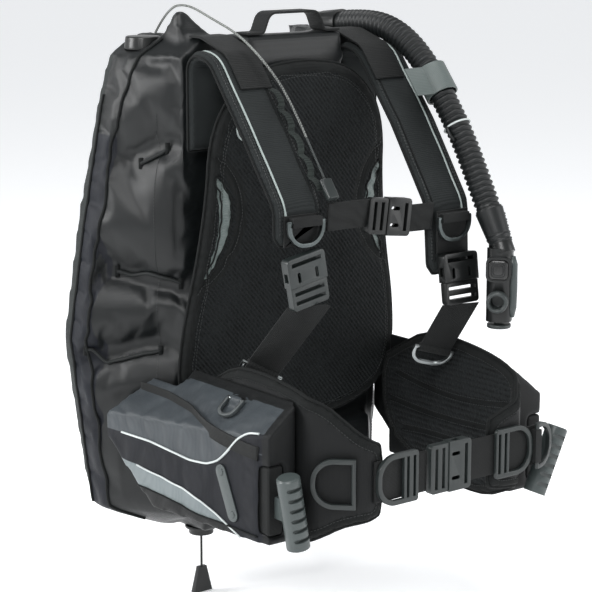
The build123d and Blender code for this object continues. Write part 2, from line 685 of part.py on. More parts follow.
def belt_slide(start_x, way):
    """One-piece ladder and D on the webbing: the ladder is at start_x and the D points the given way."""
    plane = Plane(origin=(start_x, web_front - 0.1, BELT_Z), x_dir=(way, 0, 0), z_dir=(0, -1, 0))
    with BuildPart() as slide:
        with BuildSketch(plane) as outline:
            with Locations((31, 0)):
                Rectangle(62, 62)
            fillet(outline.vertices().group_by(Axis.X)[-1], 27)
            fillet(outline.vertices().group_by(Axis.X)[0], 4)
            with BuildSketch(mode=Mode.PRIVATE) as opening:
                with Locations((39, 0)):
                    Rectangle(34, 50)
                fillet(opening.vertices().group_by(Axis.X)[-1], 21)
            add(opening.sketch, mode=Mode.SUBTRACT)
            with Locations((6, 0), (16, 0)):
                Rectangle(4, 50, mode=Mode.SUBTRACT)
        extrude(amount=5)
    return slide.part


save(belt_slide(-38.0, -1), "belt_slide_right")
save(belt_slide(88.0, 1), "belt_slide_left")

# ---- sternum strap ----
chest_along = Vector(160, -7, -19).normalized()
chest_mouth = Vector(8.0, plate_front - 193, 128.5)
chest_normal = Vector(0, -1, 0) - chest_along * Vector(0, -1, 0).dot(chest_along)
chest_plane = Plane(origin=chest_mouth, x_dir=chest_along.cross(chest_normal), z_dir=chest_normal)
print("chest plug way", [round(v, 4) for v in tuple(chest_plane.y_dir)])
way = chest_plane.y_dir
save(socket(chest_plane, CHEST_WEB), "sternum_socket")
save(plug(chest_plane, CHEST_WEB), "sternum_plug")
socket_side = chest_mouth + way * (socket_end() + WEB_END)
plug_side = chest_mouth - way * (plug_end() + WEB_END)
strap_inside = STRAP_X - STRAP_WIDE / 2 - STRAP_GAP
reach_socket = (strap_inside - abs(socket_side.X)) / abs(way.X)
reach_plug = (strap_inside - abs(plug_side.X)) / abs(way.X)
socket_strap = band(socket_side, socket_side + way * reach_socket, chest_plane.x_dir, CHEST_WEB, WEB_THICK)
plug_strap = band(plug_side, plug_side - way * reach_plug, chest_plane.x_dir, CHEST_WEB, WEB_THICK)
save(socket_strap, "sternum_strap_right" if socket_side.X < 0 else "sternum_strap_left")
save(plug_strap, "sternum_strap_left" if socket_side.X < 0 else "sternum_strap_right")

# ---- hose: elbow on the air cell, corrugated hose, keeper on the strap, guard and inflator ----
ELBOW_LONG = 37.0
hose_x = ring_x + SHOULDER_RING / 2 + HOSE_RADIUS + 1.5
# how far inboard of the hose's end, how far in front of the backplate, and how high
HOSE_RUN = [(4, 83.5, 298), (3, 122.5, 250), (2, 153.5, 208), (1, 177.5, 166), (0, 199.5, 125)]
HOSE_POINTS = [(SEAT_X, SEAT_Y - ELBOW_LONG, HOSE_Z), (SEAT_X + 1, plate_front + 1, HOSE_Z + 6),
               (SEAT_X + 4, plate_front - HOSE_RADIUS - 37.5, 333)]
HOSE_POINTS += [(hose_x - inboard, plate_front - HOSE_RADIUS - ahead, z) for inboard, ahead, z in HOSE_RUN]
hose_start = Vector(*HOSE_POINTS[0])
hose_first_way = (Vector(*HOSE_POINTS[1]) - hose_start).normalized()
with BuildPart() as hose_elbow:
    with BuildSketch(Plane.XY.offset(SEAT_Z)):
        with Locations((SEAT_X, SEAT_Y)):
            Circle(SEAT_RADIUS)
    extrude(amount=7)
    with BuildSketch(Plane.XY.offset(SEAT_Z)):
        with Locations((SEAT_X, SEAT_Y)):
            Circle(17)
    extrude(amount=HOSE_Z + 12 - SEAT_Z)
    with BuildSketch(Plane(hose_start, z_dir=hose_first_way)):
        Circle(HOSE_RADIUS + 1.5)
    extrude(amount=-ELBOW_LONG)
save(hose_elbow.part, "hose_elbow")

corrugated_hose = tube(HOSE_POINTS, corner_radii(HOSE_POINTS, "hose"), HOSE_RADIUS)
save(corrugated_hose, "corrugated_hose")
hose_end = Vector(*HOSE_POINTS[-1])
hose_way = (hose_end - Vector(*HOSE_POINTS[-2])).normalized()

with BuildPart() as hose_keeper:
    keeper_mid = (Vector(*HOSE_POINTS[3]) + Vector(*HOSE_POINTS[4])) * 0.5
    keeper_way = (Vector(*HOSE_POINTS[4]) - Vector(*HOSE_POINTS[3])).normalized()
    keeper_plane = Plane(keeper_mid - keeper_way * 20, x_dir=(1, 0, 0), z_dir=keeper_way)
    with BuildSketch(keeper_plane):
        Circle(HOSE_RADIUS + 4.4)
        with Locations((-22, 7)):
            Rectangle(50, 2.4)
        Circle(HOSE_RADIUS + 2, mode=Mode.SUBTRACT)
    extrude(amount=40)
save(hose_keeper.part, "hose_keeper")

GUARD_LONG = 46.0
GUARD_END = HOSE_RADIUS - 2
with BuildPart() as hose_guard:
    with BuildSketch(Plane(hose_end, z_dir=hose_way)):
        Circle(HOSE_RADIUS + 1.5)
    with BuildSketch(Plane(hose_end + hose_way * GUARD_LONG, z_dir=hose_way)):
        Circle(GUARD_END)
    loft()
save(hose_guard.part, "hose_guard")

# inflator: the buttons face the wearer's right and front
INFLATOR_FACE = Vector(-0.766, -0.643, 0)
guard_end = hose_end + hose_way * GUARD_LONG
body_top = guard_end.Z - 4
body_axis = Vector(guard_end.X, guard_end.Y, 0)
INFLATOR_FOOT = -12.0
body_plane = Plane(origin=(body_axis.X, body_axis.Y, 0), x_dir=INFLATOR_FACE.cross(Vector(0, 0, 1)) * -1,
                   z_dir=INFLATOR_FACE)
face_depth = 17.0
BUTTON_Z = 55.0
MOUTH_Z = 16.0
BUTTON_TRAVEL = 3.0
BUTTON_WIDE = 24.0
WELL_DEEP = 4.0
MOUTH_RADIUS = 12.0
SEAT_DEEP = 3.0
DEFLATE_TRAVEL = 4.0
STEM_RADIUS = 6.0
with BuildPart() as inflator_body:
    with BuildSketch(Plane((body_axis.X, body_axis.Y, INFLATOR_FOOT), x_dir=body_plane.x_dir,
                           z_dir=(0, 0, 1))) as foot_print:
        RectangleRounded(32, 2 * face_depth, 12)
    extrude(amount=body_top - INFLATOR_FOOT)
    with BuildSketch(Plane(guard_end, z_dir=hose_way)):
        Circle(GUARD_END)
    extrude(amount=14)
    with BuildSketch(Plane(guard_end, z_dir=hose_way)):
        Circle(60)
    extrude(amount=-60, mode=Mode.SUBTRACT)
    # button housing and its well
    with BuildSketch(body_plane.offset(face_depth - 6)):
        with Locations(body_plane.to_local_coords(Vector(body_axis.X, body_axis.Y, BUTTON_Z))):
            RectangleRounded(BUTTON_WIDE + 7, BUTTON_WIDE + 7, 8)
    extrude(amount=10)
    with BuildSketch(body_plane.offset(face_depth - WELL_DEEP)):
        with Locations(body_plane.to_local_coords(Vector(body_axis.X, body_axis.Y, BUTTON_Z))):
            RectangleRounded(BUTTON_WIDE + 2 * FIT, BUTTON_WIDE + 2 * FIT, 6)
    extrude(amount=10, mode=Mode.SUBTRACT)
    # mouthpiece seat and the well of the deflate button
    with BuildSketch(body_plane.offset(face_depth - SEAT_DEEP)):
        with Locations(body_plane.to_local_coords(Vector(body_axis.X, body_axis.Y, MOUTH_Z))):
            Circle(MOUTH_RADIUS + FIT / 2)
    extrude(amount=10, mode=Mode.SUBTRACT)
    with BuildSketch(Plane.XY.offset(INFLATOR_FOOT)):
        with Locations((body_axis.X, body_axis.Y)):
            Circle(STEM_RADIUS + FIT)
    extrude(amount=14, mode=Mode.SUBTRACT)
save(inflator_body.part, "inflator_body")

with BuildPart() as inflate_button:
    with BuildSketch(body_plane.offset(face_depth - WELL_DEEP + BUTTON_TRAVEL + FIT)):
        with Locations(body_plane.to_local_coords(Vector(body_axis.X, body_axis.Y, BUTTON_Z))):
            RectangleRounded(BUTTON_WIDE, BUTTON_WIDE, 6)
    extrude(amount=5 + BUTTON_TRAVEL)
save(inflate_button.part, "inflate_button")

with BuildPart() as mouthpiece:
    with BuildSketch(body_plane.offset(face_depth - SEAT_DEEP)):
        with Locations(body_plane.to_local_coords(Vector(body_axis.X, body_axis.Y, MOUTH_Z))):
            Circle(MOUTH_RADIUS)
    extrude(amount=SEAT_DEEP + 5)
    with BuildSketch(body_plane.offset(face_depth + 5)):
        with Locations(body_plane.to_local_coords(Vector(body_axis.X, body_axis.Y, MOUTH_Z))):
            Circle(MOUTH_RADIUS + 1.5)
    extrude(amount=9)
    with BuildSketch(body_plane.offset(face_depth - 1)):
        with Locations(body_plane.to_local_coords(Vector(body_axis.X, body_axis.Y, MOUTH_Z))):
            Circle(8)
    extrude(amount=16, mode=Mode.SUBTRACT)
save(mouthpiece.part, "mouthpiece")

with BuildPart() as deflate_button:
    with BuildSketch(Plane.XY.offset(INFLATOR_FOOT - DEFLATE_TRAVEL - FIT - 5)):
        with Locations((body_axis.X, body_axis.Y)):
            Circle(15)
    extrude(amount=5)
    with BuildSketch(Plane.XY.offset(INFLATOR_FOOT - DEFLATE_TRAVEL - FIT - 1)):
        with Locations((body_axis.X, body_axis.Y)):
            Circle(STEM_RADIUS)
    extrude(amount=12)
save(deflate_button.part, "deflate_button")

# ---- dump valves and pull cords ----
with BuildPart() as shoulder_dump_valve:
    with BuildSketch(Plane.XY.offset(SEAT_Z)):
        with Locations((-SEAT_X, SEAT_Y)):
            Circle(SEAT_RADIUS)
    extrude(amount=16, taper=8)
save(shoulder_dump_valve.part, "shoulder_dump_valve")

pull_end = pull_start - strap_down * 14.4
SHOULDER_CORD = [(-140, -24, 339), (-140, -52, 371), (-134, -84, 377), (-119, plate_front - 16, 360),
                 (-102, plate_front - 48, 342), (-87, plate_front - 82, 309), (-77, plate_front - 115, 269),
                 tuple(pull_end)]
shoulder_dump_cord = tube(SHOULDER_CORD, corner_radii(SHOULDER_CORD, "shoulder cord"), CORD_RADIUS)
save(shoulder_dump_cord, "shoulder_dump_cord")

with BuildPart() as shoulder_dump_knob:
    with BuildSketch(Plane(pull_start - strap_down * 13.6, x_dir=(1, 0, 0), z_dir=strap_down)):
        Circle(CORD_RADIUS)
    extrude(amount=60)
    with BuildSketch(Plane(pull_start + strap_down * 44, x_dir=(1, 0, 0), z_dir=strap_down)):
        RectangleRounded(17, 8, 3.5)
    extrude(amount=26)
save(shoulder_dump_knob.part, "shoulder_dump_knob")

DUMP_X = -112.0
DUMP_Y = plate_back + 23
DUMP_Z = -296.0
KNOB_TOP = -350.0
with BuildPart() as lower_dump_valve:
    with BuildSketch(Plane.XY.offset(DUMP_Z)):
        with Locations((DUMP_X, DUMP_Y)):
            Circle(21)
            Circle(CORD_RADIUS + FIT, mode=Mode.SUBTRACT)
    extrude(amount=3.8)
    with BuildSketch(Plane.XY.offset(DUMP_Z)):
        with Locations((DUMP_X, DUMP_Y)):
            Circle(16)
            Circle(CORD_RADIUS + FIT, mode=Mode.SUBTRACT)
    extrude(amount=-8)
save(lower_dump_valve.part, "lower_dump_valve")

with BuildPart() as lower_dump_knob:
    with BuildSketch(Plane.XY.offset(KNOB_TOP)):
        with Locations((DUMP_X, DUMP_Y)):
            Rectangle(12, 6)
    with BuildSketch(Plane.XY.offset(KNOB_TOP - 34)):
        with Locations((DUMP_X, DUMP_Y)):
            Rectangle(28, 8)
    loft(ruled=True)
    with BuildSketch(Plane.XY.offset(DUMP_Z + 3.6)):
        with Locations((DUMP_X, DUMP_Y)):
            Circle(CORD_RADIUS)
    extrude(amount=KNOB_TOP - DUMP_Z - 3.6)
save(lower_dump_knob.part, "lower_dump_knob")
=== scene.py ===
"""Looks of a buoyancy compensator vest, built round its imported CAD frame. Metres, +Z up, -Y front."""

import json
import math

import bmesh
import bpy
import numpy as np
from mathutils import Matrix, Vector
from mathutils.geometry import delaunay_2d_cdt

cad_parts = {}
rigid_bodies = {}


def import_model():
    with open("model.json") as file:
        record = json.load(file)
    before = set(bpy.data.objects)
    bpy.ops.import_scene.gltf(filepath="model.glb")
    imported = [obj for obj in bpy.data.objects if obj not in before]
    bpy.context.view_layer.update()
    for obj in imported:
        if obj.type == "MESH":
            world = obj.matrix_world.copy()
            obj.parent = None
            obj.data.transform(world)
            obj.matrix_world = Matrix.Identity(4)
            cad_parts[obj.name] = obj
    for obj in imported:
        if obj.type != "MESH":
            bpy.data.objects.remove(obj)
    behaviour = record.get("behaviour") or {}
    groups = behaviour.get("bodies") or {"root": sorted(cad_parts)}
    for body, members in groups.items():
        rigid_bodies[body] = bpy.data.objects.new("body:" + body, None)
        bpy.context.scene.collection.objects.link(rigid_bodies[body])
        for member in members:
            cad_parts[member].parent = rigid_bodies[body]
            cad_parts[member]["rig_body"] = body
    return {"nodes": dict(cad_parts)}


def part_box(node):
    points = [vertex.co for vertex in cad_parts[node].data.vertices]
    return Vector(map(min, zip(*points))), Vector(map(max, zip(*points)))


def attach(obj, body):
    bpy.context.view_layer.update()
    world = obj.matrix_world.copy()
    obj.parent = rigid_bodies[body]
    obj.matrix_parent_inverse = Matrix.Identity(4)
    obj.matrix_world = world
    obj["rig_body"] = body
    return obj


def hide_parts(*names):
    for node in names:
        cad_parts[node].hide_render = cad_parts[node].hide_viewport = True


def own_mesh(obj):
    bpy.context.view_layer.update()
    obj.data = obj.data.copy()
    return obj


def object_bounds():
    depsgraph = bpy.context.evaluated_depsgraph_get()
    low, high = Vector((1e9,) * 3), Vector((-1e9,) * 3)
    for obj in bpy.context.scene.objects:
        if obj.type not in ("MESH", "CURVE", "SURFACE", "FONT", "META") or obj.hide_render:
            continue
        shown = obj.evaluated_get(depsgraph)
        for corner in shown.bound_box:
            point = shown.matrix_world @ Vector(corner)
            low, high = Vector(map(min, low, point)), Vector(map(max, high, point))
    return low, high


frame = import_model()
cad_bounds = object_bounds()
nodes = frame["nodes"]
MM = 0.001
BROAD_SHARE = 0.65             # how much of a colour's variation is broad, and not the fine pattern
SIDES = {"right": -1, "left": 1}


# ---------------------------------------------------------------- materials
def blank(name):
    """A new node material: its tree, its surface shader and a position input."""
    made = bpy.data.materials.new(name)
    made.use_nodes = True
    tree = made.node_tree
    shader = tree.nodes["Principled BSDF"]
    place = tree.nodes.new("ShaderNodeTexCoord")
    return made, tree, shader, place.outputs["Object"]


def mapped(tree, source, scale=(1, 1, 1), turn=(0, 0, 0)):
    """The position, turned and scaled."""
    node = tree.nodes.new("ShaderNodeMapping")
    node.inputs["Scale"].default_value = scale
    node.inputs["Rotation"].default_value = turn
    tree.links.new(source, node.inputs["Vector"])
    return node.outputs["Vector"]


def noise(tree, source, scale, detail=3.0):
    node = tree.nodes.new("ShaderNodeTexNoise")
    node.inputs["Scale"].default_value = scale
    node.inputs["Detail"].default_value = detail
    tree.links.new(source, node.inputs["Vector"])
    return node.outputs["Fac"]


def ribs(tree, source, pitch, direction="X"):
    """Soft parallel ribs, pitch metres apart, across one direction of the position."""
    node = tree.nodes.new("ShaderNodeTexWave")
    node.wave_type = "BANDS"
    node.bands_direction = direction
    node.inputs["Scale"].default_value = 2 * math.pi / (20 * pitch)
    node.inputs["Distortion"].default_value = 0.6
    node.inputs["Detail"].default_value = 1.0
    tree.links.new(source, node.inputs["Vector"])
    return node.outputs["Fac"]


def cells(tree, source, scale):
    node = tree.nodes.new("ShaderNodeTexVoronoi")
    node.inputs["Scale"].default_value = scale
    tree.links.new(source, node.inputs["Vector"])
    return node.outputs["Distance"]


def joined(tree, kind, a, b):
    node = tree.nodes.new("ShaderNodeMath")
    node.operation = kind
    tree.links.new(a, node.inputs[0])
    if isinstance(b, float):
        node.inputs[1].default_value = b
    else:
        tree.links.new(b, node.inputs[1])
    return node.outputs[0]


def tint(tree, shader, fac, dark, light):
    """Base colour that runs from dark to light with fac."""
    ramp = tree.nodes.new("ShaderNodeValToRGB")
    ramp.color_ramp.elements[0].color = (*dark, 1)
    ramp.color_ramp.elements[1].color = (*light, 1)
    ramp.color_ramp.elements[0].position = 0.3
    ramp.color_ramp.elements[1].position = 0.75
    tree.links.new(fac, ramp.inputs["Fac"])
    tree.links.new(ramp.outputs["Color"], shader.inputs["Base Color"])


def bumped(tree, shader, height, strength, distance):
    node = tree.nodes.new("ShaderNodeBump")
    node.inputs["Strength"].default_value = strength
    node.inputs["Distance"].default_value = distance
    tree.links.new(height, node.inputs["Height"])
    tree.links.new(node.outputs["Normal"], shader.inputs["Normal"])


def shade(name, dark, light, rough, pattern, pitch, depth, sheen, spec,
          metal=0.0, turn=(0, 0, 0), strength=0.5):
    """A fabric, plastic, rubber or metal with its own fine pattern."""
    made, tree, shader, place = blank(name)
    pitch *= MM
    shader.inputs["Roughness"].default_value = rough
    shader.inputs["Metallic"].default_value = metal
    shader.inputs["Sheen Weight"].default_value = sheen
    shader.inputs["Sheen Roughness"].default_value = 0.45
    shader.inputs["Specular IOR Level"].default_value = spec
    turned = mapped(tree, place, turn=turn)
    if pattern == "weave":
        warp = ribs(tree, turned, pitch, "X")
        weft = ribs(tree, turned, pitch, "Z")
        depth_way = ribs(tree, turned, pitch, "Y")
        height = joined(tree, "ADD", joined(tree, "MULTIPLY", warp, weft), depth_way)
    elif pattern == "ribs":
        height = ribs(tree, turned, pitch, "X")
    elif pattern == "mesh":
        holes = cells(tree, turned, 0.55 / pitch)
        lines = ribs(tree, turned, pitch * 2.2, "X")
        height = joined(tree, "ADD", joined(tree, "MULTIPLY", holes, 1.2), lines)
    elif pattern == "brushed":
        height = noise(tree, mapped(tree, place, scale=(40, 40, 900)), 3.0)
    else:
        height = noise(tree, turned, 1.0 / pitch, 4.0)
    broad = noise(tree, place, 22.0, 3.0)
    mixed = joined(tree, "ADD", joined(tree, "MULTIPLY", broad, BROAD_SHARE),
                   joined(tree, "MULTIPLY", height, 1 - BROAD_SHARE))
    tint(tree, shader, mixed, [c / 1000 for c in dark], [c / 1000 for c in light])
    bumped(tree, shader, height, strength, depth * MM)
    return made


# name: darkest and lightest colour in thousandths, roughness, pattern, its pitch and depth in mm,
# sheen and gloss
FINISHES = {
    "nylon": ((2, 2.6, 2.8), (5, 6.2, 6.6), 0.36, "weave", 0.9, 0.12, 0.02, 0.3),
    "nylon_dark": ((2, 2.4, 2.6), (4.8, 5.5, 5.8), 0.5, "weave", 1, 0.2, 0.02, 0.18),
    "cordura": ((6, 8, 8), (13, 16.5, 16), 0.55, "weave", 1.4, 0.3, 0.03, 0.2),
    "navy": ((3, 3.6, 5.8), (6, 7.5, 11.5), 0.5, "weave", 1.2, 0.2, 0.02, 0.2),
    "strap": ((6.5, 8, 8.2), (15, 17.5, 17.8), 0.75, "weave", 1.5, 0.4, 0.03, 0.15),
    "trim": ((7, 9.5, 9), (20, 26, 23.5), 0.7, "weave", 2.4, 0.6, 0.03, 0.18),
    "binding": ((2.5, 3, 3), (6.5, 7.5, 7.5), 0.75, "weave", 1.2, 0.4, 0.02, 0.15),
    "mesh": ((1.2, 1.4, 1.5), (9.5, 11, 11.5), 0.8, "mesh", 2.1, 1.2, 0.02, 0.12),
    "satin": ((55, 75, 72), (105, 130, 124), 0.42, "weave", 0.9, 0.1, 0.1, 0.5),
    "webbing": ((2, 2.4, 2.4), (6, 6.8, 6.8), 0.6, "weave", 1.6, 0.5, 0.03, 0.2),
    "pocket": ((16, 20, 24), (34, 41, 46), 0.42, "weave", 1, 0.15, 0.04, 0.3),
    "field": ((2, 2.5, 4), (5, 6, 9), 0.55, "weave", 1.2, 0.2, 0.02, 0.18),
    "light_panel": ((70, 88, 92), (115, 137, 142), 0.45, "weave", 1, 0.1, 0.05, 0.5),
    "piping": ((340, 370, 370), (500, 530, 520), 0.4, "grain", 2, 0.2, 0, 0.5),
    "reflective": ((200, 240, 230), (320, 360, 350), 0.35, "grain", 1, 0.2, 0, 0.5),
    "black_plastic": ((3, 3.5, 3.5), (8, 9, 9), 0.34, "grain", 0.8, 0.1, 0, 0.35),
    "buckle": ((9, 12, 12), (20, 25, 24.5), 0.36, "grain", 0.9, 0.1, 0, 0.4),
    "handle": ((28, 36, 36), (50, 61, 60), 0.38, "grain", 1, 0.1, 0, 0.4),
    "rubber": ((3.5, 4.2, 4.4), (9, 10.5, 11), 0.42, "grain", 1.2, 0.2, 0, 0.32),
    "grey_rubber": ((16, 20, 20), (32, 38, 38), 0.42, "grain", 1, 0.1, 0, 0.4),
    "button": ((3, 3, 3), (8, 8, 8), 0.28, "grain", 1, 0.1, 0, 0.5),
    "steel": ((220, 240, 240), (360, 380, 380), 0.3, "brushed", 1, 0.05, 0, 0.5),
    "dark_steel": ((55, 65, 65), (110, 125, 125), 0.3, "brushed", 1, 0.05, 0, 0.5),
    "badge": ((40, 48, 48), (70, 80, 80), 0.34, "brushed", 1, 0.05, 0, 0.5),
    "keeper": ((45, 58, 56), (75, 92, 88), 0.5, "weave", 1.4, 0.2, 0.05, 0.5),
    "thread": ((10, 12, 12), (22, 25, 25), 0.6, "grain", 0.6, 0.1, 0, 0.5),
    "cord_black": ((3, 4, 4), (10, 12, 12), 0.6, "weave", 0.9, 0.3, 0.03, 0.25),
    "cord_pale": ((8, 9, 9), (170, 180, 170), 0.6, "weave", 2.2, 0.3, 0.05, 0.5),
    # painted shade: near-black colour for the inside of the hose guard's vents
    "painted_vent_shade": ((1, 1, 1), (3, 3, 3), 0.7, "grain", 1, 0.1, 0, 0.5),
}
SPECIAL = {
    "mesh": {"turn": (0, 0.72, 0), "strength": 1.0},
    "steel": {"metal": 1.0},
    "dark_steel": {"metal": 0.9},
    "badge": {"metal": 0.4},
}
M = {name: shade(name, *row, **SPECIAL.get(name, {})) for name, row in FINISHES.items()}


# ---------------------------------------------------------------- geometry tools
def new_mesh(name, verts, faces, mats, index=None, smooth=True):
    """An object from plain lists, with its materials."""
    data = bpy.data.meshes.new(name)
    data.from_pydata([tuple(v) for v in verts], [], [tuple(f) for f in faces])
    data.validate()
    made = bpy.data.objects.new(name, data)
    bpy.context.scene.collection.objects.link(made)
    for mat in mats:
        data.materials.append(M[mat])
    if index is not None and len(index) == len(data.polygons):
        data.polygons.foreach_set("material_index", np.asarray(index, np.int32))
    if smooth:
        data.polygons.foreach_set("use_smooth", np.ones(len(data.polygons), bool))
    return made


def mm(points):
    """Points given in millimetres, in metres."""
    return np.array(points, float) * MM


def turns(count):
    """Angles of count points round a full turn."""
    return np.linspace(0, 2 * math.pi, count + 1)[:-1]


def dent(gap, deep, wide):
    """A soft groove: how deep it is at each distance from its line."""
    return deep * np.exp(-(gap / wide) ** 2)


def sleeve(n, sides, closed=False):
    """The faces of n rings of points, with ends unless it closes on itself."""
    faces = []
    for i in range(n if closed else n - 1):
        j = (i + 1) % n
        for k in range(sides):
            m = (k + 1) % sides
            faces.append((i * sides + k, i * sides + m, j * sides + m, j * sides + k))
    if not closed:
        faces.append(tuple(range(sides))[::-1])
        faces.append(tuple((n - 1) * sides + k for k in range(sides)))
    return faces


def settle(obj, body="harness", replaces=()):
    """Fix a finished piece to its body, and hide what it stands for."""
    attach(obj, body)
    if replaces:
        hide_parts(*replaces)
    return obj


def apply_all(obj):
    """Turn an object's modifiers into its mesh."""
    graph = bpy.context.evaluated_depsgraph_get()
    mesh = bpy.data.meshes.new_from_object(obj.evaluated_get(graph))
    obj.modifiers.clear()
    obj.data = mesh
    return obj


def rounded_path(points, radii, step):
    """Points along straight runs joined by tangent arcs, step apart at most."""
    pts = [np.array(p, float) for p in points]
    if np.isscalar(radii):
        radii = [radii] * (len(pts) - 2)
    out = [pts[0]]
    for before, here, after, radius in zip(pts, pts[1:], pts[2:], radii):
        a = before - here
        b = after - here
        a /= np.linalg.norm(a)
        b /= np.linalg.norm(b)
        angle = math.acos(float(np.clip(a @ b, -1, 1)))
        cut = radius / math.tan(angle / 2)
        middle = here + (a + b) / np.linalg.norm(a + b) * radius / math.sin(angle / 2)
        start, end = here + a * cut - middle, here + b * cut - middle
        sweep = math.pi - angle
        count = max(2, int(radius * sweep / step))
        for k in range(count + 1):
            t = k / count
            w0, w1 = math.sin((1 - t) * sweep), math.sin(t * sweep)
            out.append(middle + (start * w0 + end * w1) / math.sin(sweep))
    out.append(pts[-1])
    dense = [out[0]]
    for p in out[1:]:
        gap = np.linalg.norm(p - dense[-1])
        parts = max(1, int(math.ceil(gap / step)))
        if gap > 1e-7:
            base = dense[-1]
            dense += [base + (p - base) * (k + 1) / parts for k in range(parts)]
    return np.array(dense)


class Path:
    """A path measured by length: a point and its direction at any distance along it."""

    def __init__(self, points):
        self.p = np.array(points, float)
        steps = np.linalg.norm(np.diff(self.p, axis=0), axis=1)
        self.s = np.concatenate([[0], np.cumsum(steps)])
        self.length = float(self.s[-1])

    def at(self, s):
        s = np.asarray(s, float)
        inside = np.clip(s, 0, self.length)
        found = np.stack([np.interp(inside, self.s, self.p[:, k]) for k in range(self.p.shape[1])], -1)
        return found + self.way(s) * (s - inside)[..., None]

    def way(self, s, eps=0.003):
        s = np.clip(np.asarray(s, float), 0, self.length)
        lo, hi = np.clip(s - eps, 0, self.length), np.clip(s + eps, 0, self.length)
        d = np.stack([np.interp(hi, self.s, self.p[:, k]) - np.interp(lo, self.s, self.p[:, k])
                      for k in range(self.p.shape[1])], -1)
        return d / np.linalg.norm(d, axis=-1, keepdims=True)


def resample(points, step, closed=False):
    pts = np.array(points, float)
    if closed:
        pts = np.vstack([pts, pts[:1]])
    path = Path(pts)
    count = max(3, int(round(path.length / step)))
    s = np.linspace(0, path.length, count + 1)
    out = np.stack([np.interp(s, path.s, path.p[:, k]) for k in range(pts.shape[1])], -1)
    return out[:-1] if closed else out


def smoothed(points, rounds, closed=True):
    """A closed outline with its corners rounded off."""
    pts = np.array(points, float)
    for _ in range(rounds):
        if closed:
            nxt = np.roll(pts, -1, 0)
            pts = np.stack([pts * 0.75 + nxt * 0.25, pts * 0.25 + nxt * 0.75], 1).reshape(-1, pts.shape[1])
        else:
            a, b = pts[:-1], pts[1:]
            mid = np.stack([a * 0.75 + b * 0.25, a * 0.25 + b * 0.75], 1).reshape(-1, pts.shape[1])
            pts = np.vstack([pts[:1], mid, pts[-1:]])
    return pts


def distance_to(points, line, closed=False):
    """Distance from each point to a polyline."""
    line = np.array(line, float)
    if closed:
        line = np.vstack([line, line[:1]])
    best = np.full(len(points), 1e9)
    for a, b in zip(line[:-1], line[1:]):
        d = b - a
        span = max(float(d @ d), 1e-14)
        t = np.clip(((points - a) @ d) / span, 0, 1)
        best = np.minimum(best, np.linalg.norm(points - (a + t[:, None] * d), axis=1))
    return best


def inside(points, outline):
    """Which points lie inside a closed outline."""
    x, y = points[:, 0], points[:, 1]
    found = np.zeros(len(points), bool)
    line = np.array(outline, float)
    for (x0, y0), (x1, y1) in zip(line, np.roll(line, -1, 0)):
        crosses = (y0 > y) != (y1 > y)
        with np.errstate(divide="ignore", invalid="ignore"):
            at = (x1 - x0) * (y - y0) / (y1 - y0) + x0
        found ^= crosses & (x < at)
    return found


def inset(outline, gap):
    """The outline moved inwards by gap."""
    pts = np.array(outline, float)
    way = np.roll(pts, -1, 0) - np.roll(pts, 1, 0)
    way /= np.linalg.norm(way, axis=1, keepdims=True)
    normal = np.stack([-way[:, 1], way[:, 0]], 1)
    area = np.sum(pts[:, 0] * np.roll(pts[:, 1], -1) - np.roll(pts[:, 0], -1) * pts[:, 1])
    moved = pts + normal * gap * (1 if area > 0 else -1)
    return moved[distance_to(moved, pts, True) > gap * 0.93]


def quilt(name, outline, place, top, bottom, mats, region, lines=(), pitch=0.006, edge=0.004):
    """A padded panel: an outline in (u, v), filled with small faces. top and bottom give the height from
    (uv, distance to the edge), place puts (u, v, height) in the row frame, and region picks a material."""
    rim = resample(outline, edge, True)
    pts = [rim]
    edges = []
    count = len(rim)
    for line in lines:
        line = np.array(line)
        pts.append(line)
        edges += [(count + k, count + k + 1) for k in range(len(line) - 1)]
        count += len(line)
    lo, hi = rim.min(0), rim.max(0)
    us, vs = np.meshgrid(np.arange(lo[0], hi[0], pitch), np.arange(lo[1], hi[1], pitch * 0.87))
    us = us + (np.arange(us.shape[0]) % 2)[:, None] * pitch / 2
    grid = np.stack([us.ravel(), vs.ravel()], 1)
    grid = grid[inside(grid, rim)]
    keep = distance_to(grid, rim, True) > pitch * 0.55
    for line in lines:
        keep &= distance_to(grid, line) > pitch * 0.45
    pts.append(grid[keep])
    pts = np.vstack(pts)
    face = [list(range(len(rim)))]
    verts, _, faces, _, _, _ = delaunay_2d_cdt([Vector(p) for p in pts], edges, face, 1, 1e-6)
    uv = np.array([tuple(v) for v in verts])
    far = distance_to(uv, rim, True)
    on_rim = far < 1e-5
    mid = np.array([uv[list(f)].mean(0) for f in faces])
    deep = distance_to(mid, rim, True)
    up = place(uv[:, 0], uv[:, 1], np.where(on_rim, 0, top(uv, far)))
    down = place(uv[:, 0], uv[:, 1], np.where(on_rim, 0, -bottom(uv, far)))
    lower = np.arange(len(uv))
    free = np.flatnonzero(~on_rim)
    lower[free] = len(uv) + np.arange(len(free))
    all_faces = [tuple(f) for f in faces] + [tuple(int(lower[k]) for k in reversed(f)) for f in faces]
    index = list(region(mid, deep, True)) + list(region(mid, deep, False))
    made = new_mesh(name, np.vstack([up, down[free]]), all_faces, mats, index)
    fix_normals(made)
    return made


def fix_normals(obj):
    mesh = bmesh.new()
    mesh.from_mesh(obj.data)
    bmesh.ops.recalc_face_normals(mesh, faces=mesh.faces)
    mesh.to_mesh(obj.data)
    mesh.free()


def puffed(thick, rim_round, soft=0.0, reach=0.03):
    """Height over an edge: a quarter round, then a slow swell inwards."""
    def height(uv, far):
        t = np.clip(far / rim_round, 0, 1)
        swell = soft * (1 - np.exp(-np.clip(far - rim_round, 0, None) / reach))
        return thick * np.sqrt(np.clip(1 - (1 - t) ** 2, 0, 1)) + swell
    return height


